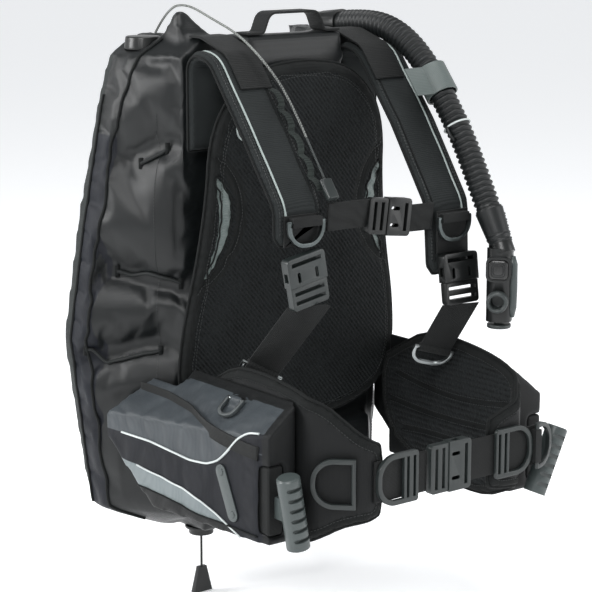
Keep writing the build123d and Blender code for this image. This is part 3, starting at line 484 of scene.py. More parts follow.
def tube(name, points, radius, mat, closed=False, sides=8, flat=1.0, up=None):
    """A round or flattened tube along points."""
    pts = np.array(points, float)
    n = len(pts)
    if closed:
        way = np.roll(pts, -1, 0) - np.roll(pts, 1, 0)
    else:
        way = np.gradient(pts, axis=0)
    way /= np.linalg.norm(way, axis=1, keepdims=True)
    side = np.cross(way, np.array(up if up is not None else (0.13, 0.21, 0.97)))
    side /= np.maximum(np.linalg.norm(side, axis=1, keepdims=True), 1e-9)
    over = np.cross(side, way)
    radius = np.broadcast_to(np.asarray(radius, float), (n,))
    rings = []
    for k in range(sides):
        a = 2 * math.pi * k / sides
        rings.append(pts + side * (math.cos(a) * radius)[:, None]
                     + over * (math.sin(a) * radius * flat)[:, None])
    verts = np.stack(rings, 1).reshape(-1, 3)
    made = new_mesh(name, verts, sleeve(n, sides, closed), [mat])
    fix_normals(made)
    return made


def stitches(name, lines, mat="thread", length=0.0026, gap=0.0016, size=0.0004):
    """Small raised stitches along lines of points in the row frame."""
    verts, faces = [], []
    for line in lines:
        path = Path(line)
        for s in np.arange(length, path.length - length, length + gap):
            middle = path.at(s)
            way = path.way(s)
            side = np.cross(way, (0.3, 0.5, 0.8))
            side /= np.linalg.norm(side)
            over = np.cross(way, side)
            base = len(verts)
            for end in (-0.5, 0.5):
                for a, b in ((1, 0), (0, 1), (-1, 0), (0, -1)):
                    verts.append(middle + way * end * length + (side * a + over * b) * size)
            faces += [(base + k, base + (k + 1) % 4, base + 4 + (k + 1) % 4, base + 4 + k)
                      for k in range(4)]
            faces += [(base + 3, base + 2, base + 1, base), (base + 4, base + 5, base + 6, base + 7)]
    return new_mesh(name, verts, faces, [mat], smooth=False)


def refined(node, mat, bevel=0.0012, segments=3, body=None, name=None):
    """A hard piece with eased edges, made from its own CAD solid."""
    source = nodes[node]
    data = source.data.copy()
    data.materials.clear()
    data.materials.append(M[mat])
    made = bpy.data.objects.new(name or f"{node}_look", data)
    bpy.context.scene.collection.objects.link(made)
    mesh = bmesh.new()
    mesh.from_mesh(data)
    bmesh.ops.remove_doubles(mesh, verts=mesh.verts, dist=1e-6)
    bmesh.ops.dissolve_limit(mesh, angle_limit=0.01, verts=mesh.verts, edges=mesh.edges)
    mesh.to_mesh(data)
    mesh.free()
    data.polygons.foreach_set("material_index", np.zeros(len(data.polygons), np.int32))
    if bevel:
        ease = made.modifiers.new("ease", "BEVEL")
        ease.width = bevel
        ease.segments = segments
        ease.limit_method = "ANGLE"
        ease.angle_limit = math.radians(38)
        ease.harden_normals = False
        apply_all(made)
    made.data.polygons.foreach_set("use_smooth", np.ones(len(made.data.polygons), bool))
    made.data.set_sharp_from_angle(angle=math.radians(50))
    settle(made, body or source["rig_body"], (node,))
    return made


# a band's section, in shares of its width and thickness: raised selvages and a flat middle
WEB_PROFILE = [(-0.5, 0), (-0.495, 0.42), (-0.475, 0.55), (-0.45, 0.44), (-0.2, 0.47), (0.2, 0.47),
               (0.45, 0.44), (0.475, 0.55), (0.495, 0.42), (0.5, 0), (0.495, -0.42), (0.45, -0.46),
               (0, -0.47), (-0.45, -0.46), (-0.495, -0.42)]


def strip(name, points, across, wide, thick, mat="webbing", wave=0.0006, step=0.004):
    """Woven webbing along points in the row frame: raised selvages and a slight wave."""
    path = Path(resample(points, step))
    s = np.arange(0, path.length + 1e-6, step)
    at, way = path.at(s), path.way(s)
    side = np.array(across, float)[None, :] - way * (way @ np.array(across, float))[:, None]
    side /= np.linalg.norm(side, axis=1, keepdims=True)
    over = np.cross(side, way)
    fade = np.clip(np.minimum(s, path.length - s) / 0.02, 0, 1)
    at = at + over * (np.sin(s * 95.0 + wide * 70) * wave * fade)[:, None]
    rings = np.stack([at + side * (t * wide) + over * (h * thick) for t, h in WEB_PROFILE], 1)
    made = new_mesh(name, rings.reshape(-1, 3), sleeve(*rings.shape[:2]), [mat])
    fix_normals(made)
    return made


# ---------------------------------------------------------------- soft shells grown from the CAD solids
def shell(node, voxel, name=None):
    """A fine, even skin over a CAD solid."""
    data = nodes[node].data.copy()
    data.materials.clear()
    made = bpy.data.objects.new(name or f"{node}_skin", data)
    bpy.context.scene.collection.objects.link(made)
    grid = made.modifiers.new("grid", "REMESH")
    grid.mode = "VOXEL"
    grid.voxel_size = voxel
    return apply_all(made)


def coords(obj):
    flat = np.empty(len(obj.data.vertices) * 3, np.float32)
    obj.data.vertices.foreach_get("co", flat)
    return flat.reshape(-1, 3).astype(float)


def set_coords(obj, pts):
    obj.data.vertices.foreach_set("co", np.asarray(pts, np.float32).ravel())
    obj.data.update()


def inflate(obj, fixed, pressure, slack, frames):
    """Blow a skin up as slack cloth: fixed holds one weight per vertex."""
    group = obj.vertex_groups.new(name="fixed")
    for level in (0.25, 0.5, 0.75, 1.0):
        picked = np.flatnonzero((fixed > level - 0.25) & (fixed <= level))
        group.add(picked.tolist(), level, "REPLACE")
    cloth = obj.modifiers.new("cloth", "CLOTH")
    how = cloth.settings
    how.quality = 6
    how.mass = 0.25
    how.tension_stiffness = 22
    how.compression_stiffness = 22
    how.shear_stiffness = 8
    how.bending_stiffness = 1.6
    how.use_pressure = True
    how.uniform_pressure_force = pressure
    how.shrink_min = -slack
    how.vertex_group_mass = "fixed"
    how.pin_stiffness = 1.0
    how.effector_weights.gravity = 0
    cloth.collision_settings.use_collision = False
    scene = bpy.context.scene
    cloth.point_cache.frame_start = 1
    cloth.point_cache.frame_end = frames
    for step in range(1, frames + 1):
        scene.frame_set(step)
    apply_all(obj)
    scene.frame_set(1)
    obj.vertex_groups.clear()


def capped(rest, now, limit):
    """The cloth's points, none further than limit from where it started."""
    moved = now - rest
    size = np.linalg.norm(moved, axis=1)
    return rest + moved * np.minimum(1, limit / np.maximum(size, 1e-9))[:, None]


def refine(obj):
    """One subdivision, applied."""
    fine = obj.modifiers.new("fine", "SUBSURF")
    fine.levels = fine.render_levels = 1
    return apply_all(obj)


def softened(line, rounds):
    """A line eased between its ends."""
    for _ in range(rounds):
        line[1:-1] = line[1:-1] * 0.5 + (line[:-2] + line[2:]) * 0.25
    return line


def eased(obj, rounds, factor=0.5):
    """Smooth a skin without shrinking it much."""
    soft = obj.modifiers.new("soft", "SMOOTH")
    soft.iterations = rounds
    soft.factor = factor
    return apply_all(obj)


def dress(obj, mats, pick):
    """Give each face of a skin a material by its middle."""
    obj.data.materials.clear()
    for mat in mats:
        obj.data.materials.append(M[mat])
    n = len(obj.data.polygons)
    flat = np.empty(n * 3, np.float32)
    obj.data.polygons.foreach_get("center", flat)
    way = np.empty(n * 3, np.float32)
    obj.data.polygons.foreach_get("normal", way)
    index = pick(flat.reshape(-1, 3).astype(float), way.reshape(-1, 3).astype(float))
    obj.data.polygons.foreach_set("material_index", np.asarray(index, np.int32))
    obj.data.polygons.foreach_set("use_smooth", np.ones(n, bool))


def plane_cut(obj, spot, way):
    """Cut the faces of a skin where a plane crosses them."""
    mesh = bmesh.new()
    mesh.from_mesh(obj.data)
    every = list(mesh.verts) + list(mesh.edges) + list(mesh.faces)
    bmesh.ops.bisect_plane(mesh, geom=every, plane_co=spot, plane_no=way, dist=1e-6)
    mesh.to_mesh(obj.data)
    mesh.free()


def split_at(obj, level):
    """Cut the faces of a skin where z crosses level(x, y), so that two fabrics meet on a clean line."""
    pts = coords(obj)
    pts[:, 2] -= level(pts[:, 0], pts[:, 1])
    set_coords(obj, pts)
    plane_cut(obj, (0, 0, 0), (0, 0, 1))
    pts = coords(obj)
    pts[:, 2] += level(pts[:, 0], pts[:, 1])
    set_coords(obj, pts)


def laid(obj, points, lift, step=0.003):
    """Points moved onto a skin's surface, lift above it."""
    found = []
    for p in resample(points, step):
        ok, at, normal, _ = obj.closest_point_on_mesh(Vector(p))
        found.append(np.array(at) + np.array(normal) * lift)
    return softened(np.array(found), 3)


def piping(name, obj, points, radius, mat, body="harness", lift=0.0, flat=1.0):
    return settle(tube(name, laid(obj, points, lift), radius, mat, flat=flat), body)


# ---------------------------------------------------------------- air cell
CELL_VOXEL = 0.0062
CELL_CLOTH = (3.0, 0.035, 22)  # pressure, slack and frames
TANK_CLEAR = 0.0975           # the cell stays this far from the tank's axis
CINCHES = [((186, -43, 186), (165, -72, 204)), ((210, -28, 44), (152, -91, 26)),
           ((242, -9, -69), (174, -72, -46))]
GATHERS = (-150, -225, 130, 262)
STRIP_FRONT, STRIP_BACK = -0.012, 0.020
# height, half width and the Y of the front edge, up the side of the cell
SIDE_LINE = [(-285, 174, -22), (-265, 218, -4), (-185, 228, 0), (-45, 246, 0), (40, 232, 0), (100, 222, 0),
             (215, 201, -6), (262, 188, -10), (312, 172, -20), (333, 142, -30)]


def air_cell():
    skin = shell("air_cell", CELL_VOXEL)
    rest = coords(skin)
    pts = rest.copy()
    x, y, z = rest.T
    across = np.abs(x)
    round_tank = np.hypot(x, y)
    fixed = np.zeros(len(rest))
    fixed[round_tank < 0.106] = 1
    fixed[(across < 0.128) & (y < -0.088)] = 1
    fixed[(across < 0.082) & ((z > 0.23) | (z < -0.165))] = 1
    seat = np.hypot(across - 0.146, y + 0.005) < 0.030
    fixed[seat] = np.where(z[seat] > 0.29, 1, 0)
    fixed[(across > 0.118) & (across < 0.174) & (z > 0.317) & (y < -0.005)] = 1
    fixed[(x < -0.09) & (z > 0.345)] = 1
    strip_side = (across > 0.12) & (y > 0.018)
    fixed[strip_side] = np.maximum(fixed[strip_side], 0.75)
    for outer, inner in CINCHES:
        for side in (-1, 1):
            a, b = (mm((side * p[0], p[1], p[2])) for p in (outer, inner))
            near = distance_to(rest, [a, b])
            inward = np.array((-side * 0.35, 0.94, 0.0))
            pts += inward * dent(near, 0.017, 0.020)[:, None]
            fixed[near < 0.0055] = 1
    # gathers at the foot of each lobe and where the side strip meets the panels
    for side in (-1, 1):
        for level in GATHERS:
            a = mm((side * 232, -4, level))
            near = np.linalg.norm((rest - a) * (1, 1, 1.6), axis=1)
            pts += np.array((-side, 0.1, 0)) * dent(near, 0.005, 0.018)[:, None]
            fixed[near < 0.006] = 1
    set_coords(skin, pts)
    inflate(skin, fixed, *CELL_CLOTH)
    limit = np.where((z < -0.05) & (y < -0.03), 0.008, 0.014)
    limit = np.where(np.abs(pts - rest).max(1) > 0.004, 0.026, limit)
    now = capped(rest, coords(skin), limit)
    radius = np.hypot(now[:, 0], now[:, 1])
    push = np.where(radius < TANK_CLEAR, TANK_CLEAR / np.maximum(radius, 1e-9), 1)
    now[:, :2] *= push[:, None]
    held = (across < 0.165) & (y < -0.085)
    now[held, 1] = np.maximum(now[held, 1], rest[held, 1] - 0.0012)
    now[:, 0] = np.clip(now[:, 0], cad_bounds[0][0] - 0.006, cad_bounds[1][0] + 0.006)
    set_coords(skin, now)
    eased(skin, 1, 0.35)
    plane_cut(skin, (0, STRIP_BACK, 0), (0, 1, 0))
    plane_cut(skin, (0, STRIP_FRONT, 0), (0, 1, 0))

    def pick(mid, way):
        side = np.abs(mid[:, 0])
        flank = (side > 0.145) & (np.abs(way[:, 0]) > 0.3)
        out = np.zeros(len(mid), int)
        out[flank & (mid[:, 1] > STRIP_FRONT) & (mid[:, 2] < 0.215)] = 1
        out[flank & (mid[:, 1] > STRIP_BACK)] = 2
        return out

    dress(skin, ["nylon", "navy", "cordura"], pick)
    refine(skin)
    skin.name = "air_cell_skin"
    settle(skin, replaces=("air_cell",))
    for name, side in SIDES.items():
        front = [mm((side * half, edge - 12, level)) for level, half, edge in SIDE_LINE]
        strip_line = [mm((side * (half + 2), 20, level)) for level, half, edge in SIDE_LINE[1:-2]]
        piping(f"cell_piping_front_{name}", skin, front, 0.0021, "binding", lift=0.0006)
        piping(f"cell_piping_side_{name}", skin, strip_line, 0.0019, "binding", lift=0.0005)
        for k, (outer, inner) in enumerate(CINCHES):
            a, b = (mm((side * p[0], p[1], p[2])) for p in (outer, inner))
            line = laid(skin, [a, (a + b) / 2, b], 0.0024)
            settle(tube(f"bungee_{name}_{k}", line, 0.0023, "cord_black"))
            for end, spot in (("outer", line[0]), ("inner", line[-1])):
                loop = tube(f"bungee_loop_{name}_{k}_{end}", [spot + np.array((0, 0, -0.007)), spot,
                            spot + np.array((0, 0, 0.007))], 0.0032, "binding", flat=0.5)
                settle(loop)
        rear = [mm((side * (half - 24), 38, level)) for level, half, edge in SIDE_LINE[1:-1]]
        piping(f"cell_piping_rear_{name}", skin, rear, 0.0019, "binding", lift=0.0005)
        inner = [p - np.array((side * 0.006, 0, 0)) for p in rear]
        settle(stitches(f"cell_seam_rear_{name}", [laid(skin, inner, 0.0004)]))
        seam = [mm((side * 172, -66, level)) for level in range(-270, 250, 12)]
        settle(stitches(f"cell_seam_{name}", [laid(skin, seam, 0.0004)]))
    return skin


# ---------------------------------------------------------------- back pad
LEAN = math.radians(3.8)
PAD_ORIGIN = np.array((0, -0.0995, -0.168))
PAD_UP = np.array((0, -math.sin(LEAN), math.cos(LEAN)))
PAD_OUT = np.array((0, -math.cos(LEAN), -math.sin(LEAN)))
PAD_SIDE = [(70, 300), (116, 264), (138, 215), (140, 142), (152, 60), (170, -20), (175, -92), (150, -142)]
CRESCENT = [(132, 345), (127, 318), (124, 290), (127, 262), (134, 236), (146, 205), (128, 232), (113, 262),
            (107, 288), (110, 316)]


def pad_place(u, v, h):
    """Across, up along the slope, and out towards the wearer."""
    return (PAD_ORIGIN + np.outer(u, (1, 0, 0)) + np.outer(v, PAD_UP) + np.outer(h + 0.0088, PAD_OUT))


def back_pad():
    right = [(-x, z + 168) for x, z in reversed(PAD_SIDE)]
    left = [(x, z + 168) for x, z in PAD_SIDE]
    raw = [(0, 476)] + left + [(60, 0), (-60, 0)] + right
    outline = resample(smoothed(mm(raw), 2), 0.004, True)
    field = inset(outline, 0.0135)
    crescents = []
    for side in (-1, 1):
        crescents.append(resample(smoothed(mm([(side * x, v) for x, v in CRESCENT]), 1), 0.004, True))
    waist = [np.array([(side * x, v) for x, v in ((158, 196), (118, 224), (96, 262), (92, 300), (104, 336),
                                                  (132, 366))]) * MM for side in (-1, 1)]
    waist = [resample(smoothed(w, 2, False), 0.004) for w in waist]

    def top(uv, far):
        base = puffed(0.0088, 0.010, 0.0045, 0.05)(uv, far)
        base -= dent(distance_to(uv, field, True), 0.0024, 0.0025)
        for line in waist:
            base -= dent(distance_to(uv, line), 0.0030, 0.0035)
        for shape in crescents:
            gap = distance_to(uv, shape, True)
            base -= dent(gap, 0.0018, 0.0022)
            held = inside(uv, shape)
            base[held] += 0.0016 * np.sin(uv[held, 1] * 330 + uv[held, 0] * 90)
        lumbar = np.abs(uv[:, 1] - 0.205 - 0.25 * np.abs(uv[:, 0]))
        return base - dent(lumbar, 0.0016, 0.004)

    def bottom(uv, far):
        return puffed(0.0085, 0.008)(uv, far)

    def region(mid, deep, upper):
        out = np.full(len(mid), 0)
        out[deep < 0.0135] = 1
        if upper:
            for line in waist:
                out[(distance_to(mid, line) < 0.0085)] = 1
            for shape in crescents:
                out[inside(mid, shape)] = 2
        else:
            out[:] = 3
        return out

    pad = quilt("back_pad_cushion", outline, pad_place, top, bottom,
                ["mesh", "binding", "satin", "cordura"], region,
                lines=[np.vstack([c, c[:1]]) for c in crescents] + waist, pitch=0.0052)
    settle(pad, replaces=("back_pad",))

    def on_pad(points, lift):
        flat = np.array(points)
        return laid(pad, pad_place(flat[:, 0], flat[:, 1], np.full(len(flat), 0.014)), lift)

    rim = pad_place(outline[:, 0], outline[:, 1], np.zeros(len(outline)))
    settle(tube("back_pad_piping", rim, 0.0019, "binding", closed=True))
    loop = np.vstack([field, field[:1]])
    sewn = [on_pad(loop, 0.0004), on_pad(inset(outline, 0.0165), 0.0004)]
    sewn += [on_pad(line, 0.0004) for line in waist]
    settle(stitches("back_pad_stitches", sewn))
    for k, shape in enumerate(crescents):
        edge = on_pad(np.vstack([shape, shape[:1]]), 0.0003)
        settle(tube(f"back_pad_crescent_edge_{k}", edge, 0.0011, "binding"))
    # a plain round patch with a ring, sewn on the upper right
    patch = np.array([(0.017 * math.cos(t) - 0.088, 0.017 * math.sin(t) + 0.398)
                      for t in np.linspace(0, 2 * math.pi, 48)])
    ring = on_pad(patch, 0.0007)
    settle(tube("back_pad_patch_ring", ring, 0.0012, "reflective"))
    disc = quilt("back_pad_patch", patch[:-1], lambda u, v, h: pad_place(u, v, h + 0.0046),
                 lambda uv, far: np.full(len(uv), 0.0022), lambda uv, far: np.full(len(uv), 0.001),
                 ["field"], lambda mid, deep, upper: np.zeros(len(mid), int), pitch=0.004, edge=0.003)
    settle(disc)
    return pad


# ---------------------------------------------------------------- shoulder pads
ROUTES = {
    "right": [(-105.5, 200), (-105.5, 322), (-150, 312), (-214, 232), (-276, 150), (-276, 104)],
    "left": [(-105.5, 200), (-105.5, 322), (-150, 312), (-218, 228), (-282, 134), (-287, 46)],
}
STRAP_DOWN = np.array((0, -62, -82)) / math.hypot(62, 82)
STRAP_OUT = np.array((0, STRAP_DOWN[2], -STRAP_DOWN[1]))


def side_mapped(path, side):
    """Places (across, along, out) on a strap that runs along a path in the YZ plane."""
    def place(u, v, h):
        at, way = path.at(v), path.way(v)
        out = np.stack([way[:, 1], -way[:, 0]], 1)
        return np.stack([side * u, at[:, 0] + out[:, 0] * h, at[:, 1] + out[:, 1] * h], 1)
    return place


def shoulder_pad(name, side):
    path = Path(rounded_path(mm(ROUTES[name]), mm([20, 38, 60, 30]), 0.003))
    long = path.length
    place = side_mapped(path, side)
    low, high = (place(np.array([0.115]), np.array([long * 0.6]), np.array([h]))[0] for h in (0.0, 0.006))
    flip = 1 if (high - low) @ STRAP_OUT > 0 else -1
    spot = (lambda u, v, h: place(u, v, np.asarray(h) * flip))
    raw = [(0.0805, 0.0), (0.1495, 0.0), (0.1497, long * 0.4), (0.1497, long * 0.8), (0.1485, long - 0.012),
           (0.140, long - 0.0008), (0.090, long - 0.0008), (0.0815, long - 0.012), (0.0803, long * 0.8),
           (0.0803, long * 0.4)]
    outline = resample(np.array(raw), 0.004, True)
    edge_in, edge_out = 0.0885, 0.1375
    end_v = long - 0.030
    lines = [np.array([(edge_in, v) for v in np.arange(0.02, long - 0.006, 0.004)]),
             np.array([(edge_out, v) for v in np.arange(0.02, long - 0.006, 0.004)])]

    def top(uv, far):
        base = puffed(0.0058, 0.006, 0.0012, 0.02)(uv, far)
        for line in lines:
            base -= dent(distance_to(uv, line), 0.0014, 0.0018)
        return base + 0.0004 * np.sin(uv[:, 1] * 80 + uv[:, 0] * 60)

    def bottom(uv, far):
        return puffed(0.0057, 0.006, 0.0008, 0.02)(uv, far)

    def region(mid, deep, upper):
        out = np.zeros(len(mid), int)
        out[mid[:, 1] > end_v] = 3
        out[(mid[:, 0] < edge_in) | (mid[:, 0] > edge_out) | (deep < 0.005)] = 1
        out[mid[:, 1] < 0.118] = 3
        if not upper:
            out[:] = 2
            out[deep < 0.009] = 3
        return out

    pad = quilt(f"shoulder_pad_{name}_cushion", outline, spot, top, bottom,
                ["strap", "trim", "mesh", "binding"], region, lines=lines, pitch=0.0048)
    settle(pad, replaces=(f"shoulder_pad_{name}",))

    def on(points, lift):
        flat = np.array(points)
        return laid(pad, spot(flat[:, 0], flat[:, 1], np.full(len(flat), 0.0075)), lift)

    span = np.arange(0.105, end_v, 0.004)
    settle(tube(f"shoulder_reflector_{name}", on([(edge_out - 0.0012, v) for v in span], 0.0004), 0.0017,
                "reflective", flat=0.7))
    whole = np.arange(0.01, long - 0.012, 0.004)
    inner_line = on([(edge_in + 0.0006, v) for v in whole], 0.0)
    settle(tube(f"shoulder_inner_piping_{name}", inner_line, 0.0011, "binding"))
    rim = spot(outline[:, 0], outline[:, 1], np.zeros(len(outline)))
    settle(tube(f"shoulder_rim_{name}", rim, 0.0016, "binding", closed=True))
    rows = [on([(u, v) for v in whole], 0.0003) for u in (0.0835, 0.0862, 0.1405, 0.1445)]
    rows.append(on([(u, end_v) for u in np.arange(0.09, 0.137, 0.004)], 0.0003))
    rows.append(on([(u, end_v - 0.004) for u in np.arange(0.09, 0.137, 0.004)], 0.0003))
    settle(stitches(f"shoulder_stitches_{name}", rows))
    # daisy chain along the inner edge: a tape that bows out between its bar tacks
    tacks = np.arange(long * 0.50, end_v - 0.004, 0.031)
    tape = []
    for a, b in zip(tacks[:-1], tacks[1:]):
        for t in np.linspace(0, 1, 9)[:-1]:
            tape.append((a + (b - a) * t, math.sin(math.pi * t) ** 0.7))
    if name == "right":
        pts = np.vstack([spot(*(np.array([c]) for c in (0.0845 - 0.0035 * bow, v, 0.0078 + 0.0045 * bow)))
                         for v, bow in tape])
        pts = pts[pts[:, 2] > pts[:, 2].min()]
        chain = strip("shoulder_daisy_chain", pts, (1, 0, 0), 0.009, 0.0014, "trim", wave=0, step=0.003)
        settle(chain)
    return pad, spot, long


# ---------------------------------------------------------------- waist lobes
LOBE_ROUTES = {
    "right": ([(-152, -125.6), (-152, -350), (-106, -396), (-84, -396)], [24, 24]),
    "left": ([(152, -125.6), (152, -376), (132, -396), (84, -396)], [14, 14]),
}


def waist_lobe(name, side):
    points, radii = LOBE_ROUTES[name]
    path = Path(rounded_path(mm(points), mm(radii), 0.002))
    long = path.length
    far = 1000 * long
    outline = mm([(0, -96), (30, -78), (79, -51), (126, -48), (174, -52), (214, -59), (240, -68), (262, -86),
                  (278, -100), (far - 12, -112), (far, -117), (far, -199), (far - 12, -204), (278, -208),
                  (258, -214), (240, -224), (204, -240), (160, -242), (124, -239), (38, -215), (0, -170)])
    outline = resample(smoothed(outline, 1), 0.004, True)
    outline[:, 0] = np.clip(outline[:, 0], 0.0004, long - 0.0004)

    def place(u, v, h):
        at, way = path.at(u), path.way(u)
        out = np.stack([way[:, 1], -way[:, 0]], 1)
        sign = 1 if name == "right" else -1
        return np.stack([at[:, 0] + out[:, 0] * h * sign, at[:, 1] + out[:, 1] * h * sign, v], 1)

    near = place(np.array([0.1]), np.array([-0.15]), np.array([0.01]))[0][0]
    outward = 1 if near * side > 0.152 else -1
    spot = (lambda u, v, h: place(u, v, np.asarray(h) * outward))
    channels = [np.array([(u, -0.105 - 0.018 * math.sin(u * 11)) for u in np.arange(0.03, 0.25, 0.004)]),
                np.array([(u, -0.148 - 0.006 * math.sin(u * 13)) for u in np.arange(0.02, 0.262, 0.004)]),
                np.array([(u, -0.190 + 0.010 * math.sin(u * 12)) for u in np.arange(0.045, 0.245, 0.004)])]

    def inner(uv, far):
        base = puffed(0.0058, 0.007, 0.0022, 0.02)(uv, far)
        for line in channels:
            base -= dent(distance_to(uv, line), 0.0036, 0.0042)
        return base - dent(far - 0.0125, 0.0018, 0.002)

    def outer(uv, far):
        return puffed(0.0057, 0.006, 0.0)(uv, far) - dent(far - 0.0115, 0.0010, 0.0018)

    def region(mid, deep, upper):
        out = np.full(len(mid), 0 if upper else 2)
        out[deep < 0.0120] = 1
        if not upper:
            for line in channels:
                out[distance_to(mid, line) < 0.0022] = 1
        return out

    lobe = quilt(f"waist_lobe_{name}_cushion", outline, spot, outer, inner,
                 ["nylon_dark", "binding", "mesh"], region, lines=channels, pitch=0.005)
    settle(lobe, replaces=(f"waist_lobe_{name}",))
    rim = spot(outline[:, 0], outline[:, 1], np.zeros(len(outline)))
    settle(tube(f"waist_lobe_rim_{name}", rim, 0.0021, "binding", closed=True))

    def on(points, h):
        flat = np.array(points)
        return laid(lobe, spot(flat[:, 0], flat[:, 1], np.full(len(flat), h)), 0.0004)

    border = inset(outline, 0.0105)
    rows = [on(np.vstack([border, border[:1]]), 0.009), on(np.vstack([border, border[:1]]), -0.009)]
    rows += [on(line + (0, 0.0028), -0.009) for line in channels]
    rows += [on(line - (0, 0.0028), -0.009) for line in channels]
    settle(stitches(f"waist_lobe_stitches_{name}", rows))
    return lobe


# ---------------------------------------------------------------- cargo pockets
POCKET_VOXEL = 0.0038
POCKET_CLOTH = (0.8, 0.006, 14)  # pressure, slack and frames
POCKETS = {
    "right": {"front": -336, "pouch_x": 191},
    "left": {"front": -360, "pouch_x": 203},
}


def cargo_pocket(name, side):
    shape = POCKETS[name]
    node = f"cargo_pocket_{name}"
    skin = shell(node, POCKET_VOXEL)
    rest = coords(skin)
    x, y, z = rest.T
    across = np.abs(x)
    front = shape["front"] * MM
    mouth = (y < front + 0.188) & (np.abs(across - shape["pouch_x"] * MM) < 0.0125)
    mouth &= np.abs(z + 0.18) < 0.0455
    fixed = np.zeros(len(rest))
    fixed[across < 0.166] = 1
    fixed[mouth] = 1
    ring = np.array((side * 0.178, -0.244, -0.08))
    fixed[np.linalg.norm(rest - ring, axis=1) < 0.021] = 1
    fixed[(y < front + 0.006) & (across < 0.2)] = 1
    # the badge and the sewn lines hold the cloth in
    low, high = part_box(f"badge_plate_{name}")
    under = (y > low[1] - 0.008) & (y < high[1] + 0.008) & (z > low[2] - 0.008) & (z < high[2] + 0.008)
    under &= across > 0.18
    fixed[under] = 1
    for line in POCKET_LEVELS[:2]:
        fixed[np.abs(z - line(x, y)) < 0.0022] = 1
    inflate(skin, fixed, *POCKET_CLOTH)
    now = capped(rest, coords(skin), 0.0075)
    now[across < 0.166] = rest[across < 0.166]
    now[mouth | under] = rest[mouth | under]
    set_coords(skin, now)
    eased(skin, 2, 0.5)
    for cut in POCKET_LEVELS:
        split_at(skin, cut)

    def pick(mid, way):
        out = np.full(len(mid), 3)
        a = np.abs(mid[:, 0])
        facing = (way[:, 0] * side > 0.25) & (a > 0.17)
        l0, l1, l2, l3 = (cut(mid[:, 0], mid[:, 1]) for cut in POCKET_LEVELS)
        h = mid[:, 2]
        out[facing & (h > l1)] = 0
        out[facing & (h <= l1) & (h > l2)] = 1
        out[facing & (h <= l2) & (h > l3)] = 2
        out[facing & (np.abs(h - l0) < 0.001)] = 0
        out[(mid[:, 1] < front + 0.0125)] = 3
        out[(way[:, 2] > 0.5) & (a < 0.172)] = 3
        return out

    dress(skin, ["pocket", "field", "light_panel", "nylon_dark"], pick)
    refine(skin)
    settle(skin, replaces=(node,))

    def surface(level_fn, start, end, out=0.25):
        line = []
        for t in np.linspace(start, end, 60):
            line.append((side * out, t, float(level_fn(np.array([side * out]), np.array([t]))[0])))
        return on_outer(skin, line, side)

    tape, upper, lower, hem = POCKET_LEVELS
    rear = -0.058
    tape_line = surface(tape, front + 0.016, rear - 0.004)
    settle(strip(f"pocket_tape_{name}", tape_line, (0, 0.25, 1), 0.017, 0.0016, "webbing", wave=0))
    for label, fn, size, mat in (("upper", upper, 0.0017, "piping"), ("lower", lower, 0.0014, "piping"),
                                 ("hem", hem, 0.0016, "binding")):
        line = surface(fn, front + 0.018, rear - (0.016 if label == "upper" else 0.045))
        if len(line) > 3:
            settle(tube(f"pocket_piping_{label}_{name}", line, size, mat, flat=0.8))
    return skin


def on_outer(obj, line, side):
    """Points projected straight inwards from the wearer's side onto a skin."""
    found = []
    for p in line:
        hit, at, normal, _ = obj.ray_cast(Vector(p), Vector((-side, 0, 0)))
        if hit:
            found.append(np.array(at) + np.array(normal) * 0.0006)
    found = np.array(found)
    return softened(found, 2) if len(found) > 4 else found


def level_line(*pairs):
    """Height against Y, as a line through (y, z) points in millimetres."""
    ys, zs = np.array(sorted(pairs)).T * MM
    return lambda x, y: np.interp(np.asarray(y), ys, zs)


# the sewn levels of a pocket's outer face: tape, upper piping, lower piping and hem
POCKET_LEVELS = (
    level_line((-360, -127), (-290, -121), (-264, -117), (-184, -102), (-129, -98), (-40, -98)),
    level_line((-360, -96), (-300, -103), (-284, -114), (-269, -131), (-252, -146), (-232, -154),
               (-202, -156), (-165, -152), (-128, -148), (-40, -147)),
    level_line((-360, -262), (-290, -232), (-258, -217), (-228, -204), (-201, -196), (-155, -189),
               (-118, -185), (-40, -178)),
    level_line((-360, -226), (-272, -222), (-219, -221), (-164, -213), (-126, -210), (-40, -208)),
)


# ---------------------------------------------------------------- webbing
def middle_of(node):
    lo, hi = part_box(node)
    return (np.array(lo) + np.array(hi)) / 2


def straight(node, name, across, wide, thick=0.0026, body="harness", mat="webbing"):
    """Woven webbing in place of a straight CAD band, found from the band's own corners."""
    pts = coords(nodes[node])
    middle = pts.mean(0)
    across = np.array(across, float)
    across /= np.linalg.norm(across)
    _, _, ways = np.linalg.svd(pts - middle)
    run = ways[0] - across * (ways[0] @ across)
    run /= np.linalg.norm(run)
    reach = (pts - middle) @ run
    a, b = middle + run * reach.min(), middle + run * reach.max()
    made = strip(name, [a, b], across, wide, thick, mat)
    settle(made, body, (node,))
    return made, a, b, run


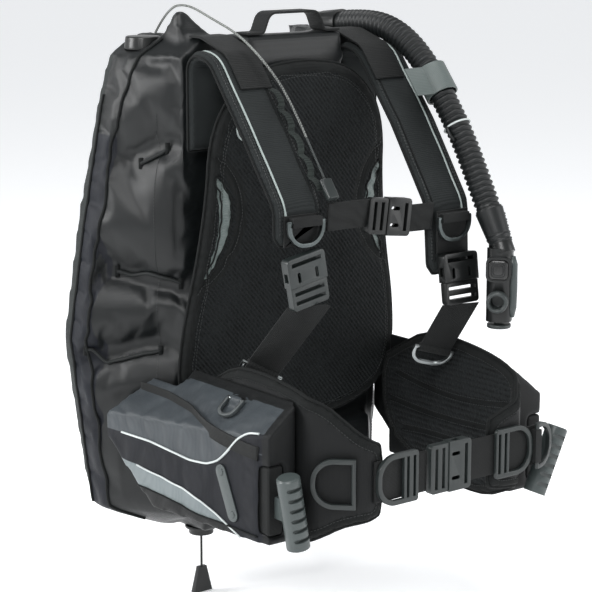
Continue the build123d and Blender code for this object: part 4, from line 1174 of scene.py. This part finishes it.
def webbing():
    """Every strap, its stitches and the tapes that stand for bands."""
    made, a, b, run = straight("sternum_strap_left", "sternum_strap_left_web", (0, -0.1, 1), 0.034)
    made, a, b, run = straight("sternum_strap_right", "sternum_strap_right_web", (0, -0.1, 1), 0.034)
    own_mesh(made)
    made, a, b, run = straight("belt_right", "belt_right_web", (0, 0, 1), 0.050)
    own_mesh(made)
    refined("belt_left", "webbing", 0.0008)
    for name in SIDES:
        refined(f"shoulder_web_{name}", "webbing", 0.0008)
        refined(f"collar_webbing_{name}", "webbing", 0.0006)
        strap = refined(f"lower_strap_{name}", "webbing", 0.0007)
        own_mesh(strap)
        low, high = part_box(f"shoulder_web_{name}")
        rows = []
        for level in (high[2] - 0.004, high[2] - 0.009):
            rows.append([np.array((low[0] + 0.006, high[1] - 0.0032, level)),
                         np.array((high[0] - 0.006, high[1] - 0.0032, level))])
        settle(stitches(f"shoulder_web_stitches_{name}", rows))
    refined("carry_handle", "webbing", 0.0007)
    refined("tank_band", "webbing", 0.0008)


# ---------------------------------------------------------------- hardware
def hardware():
    plain = {
        "backplate": ("black_plastic", 0.0014), "cam_buckle_body": ("black_plastic", 0.001),
        "cam_buckle_lever": ("black_plastic", 0.0012), "hose_elbow": ("black_plastic", 0.0016),
        "hose_keeper": ("keeper", 0.0006), "inflate_button": ("button", 0.0018),
        "mouthpiece": ("grey_rubber", 0.0012), "deflate_button": ("grey_rubber", 0.0014),
        "inflator_body": ("black_plastic", 0.0016), "shoulder_dump_valve": ("black_plastic", 0.0016),
        "lower_dump_valve": ("black_plastic", 0.0010), "lower_dump_knob": ("black_plastic", 0.0012),
        "shoulder_dump_knob": ("buckle", 0.0013), "sternum_plug": ("black_plastic", 0.0008),
        "sternum_socket": ("black_plastic", 0.0010), "waist_plug": ("buckle", 0.0010),
        "waist_socket": ("buckle", 0.0012), "belt_slide_right": ("buckle", 0.0013),
        "belt_slide_left": ("buckle", 0.0013), "belt_ring_right": ("buckle", 0.0018),
        "belt_ring_left": ("buckle", 0.0018),
    }
    for name in SIDES:
        plain |= {
            f"badge_plate_{name}": ("badge", 0.0005), f"weight_pouch_{name}": ("webbing", 0.0030),
            f"pouch_handle_{name}": ("handle", 0.0011), f"pocket_ring_{name}": ("steel", 0.0013),
            f"lower_ring_{name}": ("steel", 0.0013), f"shoulder_ring_{name}": ("dark_steel", 0.0015),
            f"shoulder_socket_{name}": ("buckle" if name == "right" else "black_plastic", 0.0012),
            f"shoulder_plug_{name}": ("buckle" if name == "right" else "black_plastic", 0.0010),
        }
    for node, (mat, bevel) in plain.items():
        refined(node, mat, bevel)


# ---------------------------------------------------------------- hose, inflator and pull cords
RIB_PITCH = 0.0074
GUARD_LONG, GUARD_WIDE, GUARD_TAPER = 0.046, 0.0180, 0.0035
VENTS, VENT_FIRST, VENT_STEP = 5, 0.010, 0.0078
HOSE_POINTS = [(146, -42, 340), (147, -98, 346), (150, -153, 333), (153, -199, 298), (154, -238, 250),
               (155, -269, 208), (156, -293, 166), (157, -315, 125)]
SHOULDER_CORD = [(-140, -24, 339), (-140, -52, 371), (-134, -84, 377), (-119, -115, 360), (-102, -147, 342),
                 (-87, -181, 309), (-77, -214, 269), (-75.5, -244.19, 225.24)]


def nurbs(name, points, radius, mat):
    """A cord as a NURBS spline through the same listed points as the CAD cord."""
    data = bpy.data.curves.new(name, "CURVE")
    data.dimensions = "3D"
    data.bevel_depth = radius
    data.bevel_resolution = 3
    spline = data.splines.new("NURBS")
    spline.points.add(len(points) - 1)
    for slot, p in zip(spline.points, points):
        slot.co = (*[c * MM for c in p], 1.0)
    spline.order_u = 3
    spline.use_endpoint_u = True
    spline.resolution_u = 16
    made = bpy.data.objects.new(name, data)
    bpy.context.scene.collection.objects.link(made)
    data.materials.append(M[mat])
    return made


def read_route(points):
    """The points that a cord's own NURBS spline runs through."""
    guide = nurbs("route_guide", points, 0.0, "rubber")
    line = np.array([tuple(v.co) for v in bpy.data.meshes.new_from_object(guide).vertices])
    bpy.data.objects.remove(guide)
    return line


def hose():
    route = read_route(HOSE_POINTS)
    path = Path(route)
    ribs_from, ribs_to = 0.006, path.length - 0.004
    s = np.arange(0, path.length, RIB_PITCH / 10)
    phase = (s - ribs_from) / RIB_PITCH
    wave = 0.5 + 0.5 * np.cos(2 * np.pi * phase)
    radius = 0.0136 + 0.0028 * wave ** 0.65
    radius[(s < ribs_from) | (s > ribs_to)] = 0.0150
    made = tube("hose_corrugated", path.at(s), radius, "rubber", sides=36)
    settle(made, "harness", ("corrugated_hose",))
    way = path.way(path.length)
    end = path.at(path.length)
    side = np.cross(way, (0.8, -0.6, 0))
    side /= np.linalg.norm(side)
    over = np.cross(side, way)
    # the guard: a ringed sleeve with curved vents round its front, each vent a near-black tube of painted
    # shade
    t = np.linspace(0, 1, 60)
    profile = GUARD_WIDE - GUARD_TAPER * t + 0.0006 * np.sin(t * 40) * (t > 0.75)
    profile[:3] -= 0.0012
    guard = tube("hose_guard_sleeve", end + np.outer(t * GUARD_LONG, way), profile, "rubber", sides=40)
    on_hose = [settle(guard, "harness", ("hose_guard",))]
    for k in range(VENTS):
        spot = VENT_FIRST + k * VENT_STEP
        arc = []
        for a in np.linspace(-0.95, 0.75, 14):
            turn = a + 2.35
            radius_here = GUARD_WIDE - GUARD_TAPER * spot / GUARD_LONG - 0.0005
            arc.append(end + way * (spot + 0.0018 * a * a) +
                       (side * math.cos(turn) + over * math.sin(turn)) * radius_here)
        # painted shade: a near-black flattened tube laid on the sleeve stands in for the dark inside of each
        # vent
        vent_shade_tube = tube(f"hose_guard_vent_shade_{k}", arc, 0.0016, "painted_vent_shade", flat=0.8)
        rib = tube(f"hose_guard_rib_{k}", [p + way * 0.0031 for p in arc], 0.0009, "grey_rubber")
        on_hose += [settle(vent_shade_tube), settle(rib)]
    # a thin clip ring round the hose
    spot = path.length * 0.70
    at, axis = path.at(spot), path.way(spot)
    u = np.cross(axis, (0, 0, 1.0))
    u /= np.linalg.norm(u)
    v = np.cross(axis, u)
    hoop = [at + (u * math.cos(a) + v * math.sin(a)) * 0.0172 for a in turns(39)]
    on_hose.append(settle(tube("hose_clip_ring", hoop, 0.0012, "piping", closed=True)))
    lug = at + u * 0.019
    tab = tube("hose_clip_tab", [lug, lug + axis * 0.012, lug + axis * 0.02 - u * 0.003], 0.0022, "rubber")
    on_hose.append(settle(tab))
    return made, route, on_hose


def inflator_details():
    """What the inflator shows besides its body, buttons and mouthpiece."""
    face = np.array((-0.766, -0.643, 0.0))
    across = np.array((0.643, -0.766, 0.0))
    button = middle_of("inflate_button")
    mouth = middle_of("mouthpiece")
    up = np.array((0, 0, 1.0))

    def squarish(middle, size, count):
        """A rounded square round the button."""
        line = []
        for a in turns(count):
            c, s = math.cos(a), math.sin(a)
            bulge = (abs(c) ** 4 + abs(s) ** 4) ** -0.25
            line.append(middle + (across * c + up * s) * size * bulge)
        return line

    frame_line = squarish(button - face * 0.0026, 0.0143, 48)
    pieces = [settle(tube("inflator_bezel", frame_line, 0.0015, "rubber", closed=True))]
    for k, size in enumerate((0.0065, 0.0042)):
        loop = squarish(button + face * (middle_reach("inflate_button", face) + 0.0001), size + 0.002, 32)
        ring = tube(f"inflate_button_ring_{k}", loop, 0.0006, "rubber", closed=True)
        pieces.append(settle(ring, "inflate_button"))
    # the pale cheek on the outer side
    cheek = [(0.0155, 0.070), (0.0168, 0.060), (0.0166, 0.030), (0.0160, 0.006), (0.0150, -0.006)]
    axis_foot = np.array((button[0], button[1], 0.0)) - face * 0.0145
    line = [axis_foot + across * out + up * level for out, level in cheek]
    cheek = tube("inflator_cheek", line, np.array([0.004, 0.0055, 0.006, 0.006, 0.0045]), "handle", sides=16)
    lip = [mouth + face * 0.0085 + (across * math.cos(a) + up * math.sin(a)) * 0.0108
           for a in turns(40)]
    lip = tube("mouthpiece_lip", lip, 0.0024, "grey_rubber", closed=True, sides=12)
    return pieces + [settle(cheek), settle(lip)]


def middle_reach(node, way):
    """How far a CAD node reaches from its middle along a direction."""
    pts = coords(nodes[node])
    return float(((pts - middle_of(node)) @ way).max())


# ---------------------------------------------------------------- build it
cell = air_cell()
pad = back_pad()
shoulders = {name: shoulder_pad(name, side) for name, side in SIDES.items()}
lobes = {name: waist_lobe(name, side) for name, side in SIDES.items()}
pockets = {name: cargo_pocket(name, side) for name, side in SIDES.items()}
webbing()
hardware()
DUMP_LENGTH, DUMP_WIDE = 0.307, 0.003
long_hose, hose_route, on_hose = hose()
on_hose += inflator_details()
on_hose += [bpy.data.objects[f"{node}_look"]
            for node in ("inflator_body", "inflate_button", "mouthpiece")]
dump_cord = nurbs("shoulder_dump_line", SHOULDER_CORD, DUMP_WIDE / 2, "cord_pale")
settle(dump_cord, "harness", ("shoulder_dump_cord",))

# ---------------------------------------------------------------- stage, light and camera
scene = bpy.context.scene
FLOOR_LEVEL, FLOOR_HALF = -0.3865, 60
floor_mesh = bmesh.new()
bmesh.ops.create_grid(floor_mesh, x_segments=1, y_segments=1, size=FLOOR_HALF)
floor_data = bpy.data.meshes.new("floor")
floor_mesh.to_mesh(floor_data)
floor_mesh.free()
floor = bpy.data.objects.new("floor", floor_data)
floor.location.z = FLOOR_LEVEL
scene.collection.objects.link(floor)
pale, tree, shader, place = blank("floor_pale")
shader.inputs["Base Color"].default_value = (0.93, 0.935, 0.94, 1)
shader.inputs["Roughness"].default_value = 0.9
shader.inputs["Emission Color"].default_value = (0.97, 0.98, 1.0, 1)
shader.inputs["Emission Strength"].default_value = 0.36
floor_data.materials.append(pale)

world = bpy.data.worlds.new("studio")
world.use_nodes = True
sky = world.node_tree
way_in = sky.nodes.new("ShaderNodeTexCoord")
split = sky.nodes.new("ShaderNodeSeparateXYZ")
fade = sky.nodes.new("ShaderNodeValToRGB")
fade.color_ramp.elements[0].position = 0.10
fade.color_ramp.elements[0].color = (0.98, 0.99, 1.0, 1)
fade.color_ramp.elements[1].position = 0.42
fade.color_ramp.elements[1].color = (0.46, 0.47, 0.48, 1)
sky.links.new(way_in.outputs["Generated"], split.inputs["Vector"])
sky.links.new(split.outputs["Z"], fade.inputs["Fac"])
sky.links.new(fade.outputs["Color"], sky.nodes["Background"].inputs["Color"])
sky.nodes["Background"].inputs["Strength"].default_value = 1.0
scene.world = world


def area_light(name, spot, aim, size, power):
    data = bpy.data.lights.new(name, "AREA")
    data.size = size
    data.energy = power
    made = bpy.data.objects.new(name, data)
    made.location = spot
    made.rotation_euler = (Vector(aim) - Vector(spot)).to_track_quat("-Z", "Y").to_euler()
    scene.collection.objects.link(made)


# name, place, aim, width and power
for lamp in (("key", (-1.9, -1.6, 1.9), (0, -0.15, 0), 1.1, 62),
             ("fill", (1.8, -2.2, 0.7), (0, -0.2, 0), 1.6, 26),
             ("rim_left", (-2.0, 0.9, 0.9), (-0.1, 0, 0.05), 0.8, 46),
             ("top", (0.2, -0.3, 2.3), (0, -0.1, 0), 1.2, 30)):
    area_light(*lamp)

AZIMUTH, ELEVATION, DISTANCE = math.radians(-38), math.radians(12), 2.5
target = Vector((0, -0.12, 0))
back = Vector((math.sin(AZIMUTH) * math.cos(ELEVATION), -math.cos(AZIMUTH) * math.cos(ELEVATION),
               math.sin(ELEVATION)))
camera_data = bpy.data.cameras.new("camera")
camera_data.lens = 118.6
camera_data.sensor_width = 36
camera_data.shift_x = 0.0068
camera_data.shift_y = 0.0034
camera_data.clip_start = 0.05
camera = bpy.data.objects.new("camera", camera_data)
camera.location = target + back * DISTANCE
camera.rotation_euler = (-back).to_track_quat("-Z", "Y").to_euler()
scene.collection.objects.link(camera)
scene.camera = camera
scene.view_settings.view_transform = "Standard"
scene.view_settings.look = "None"
scene.view_settings.exposure = 0.0
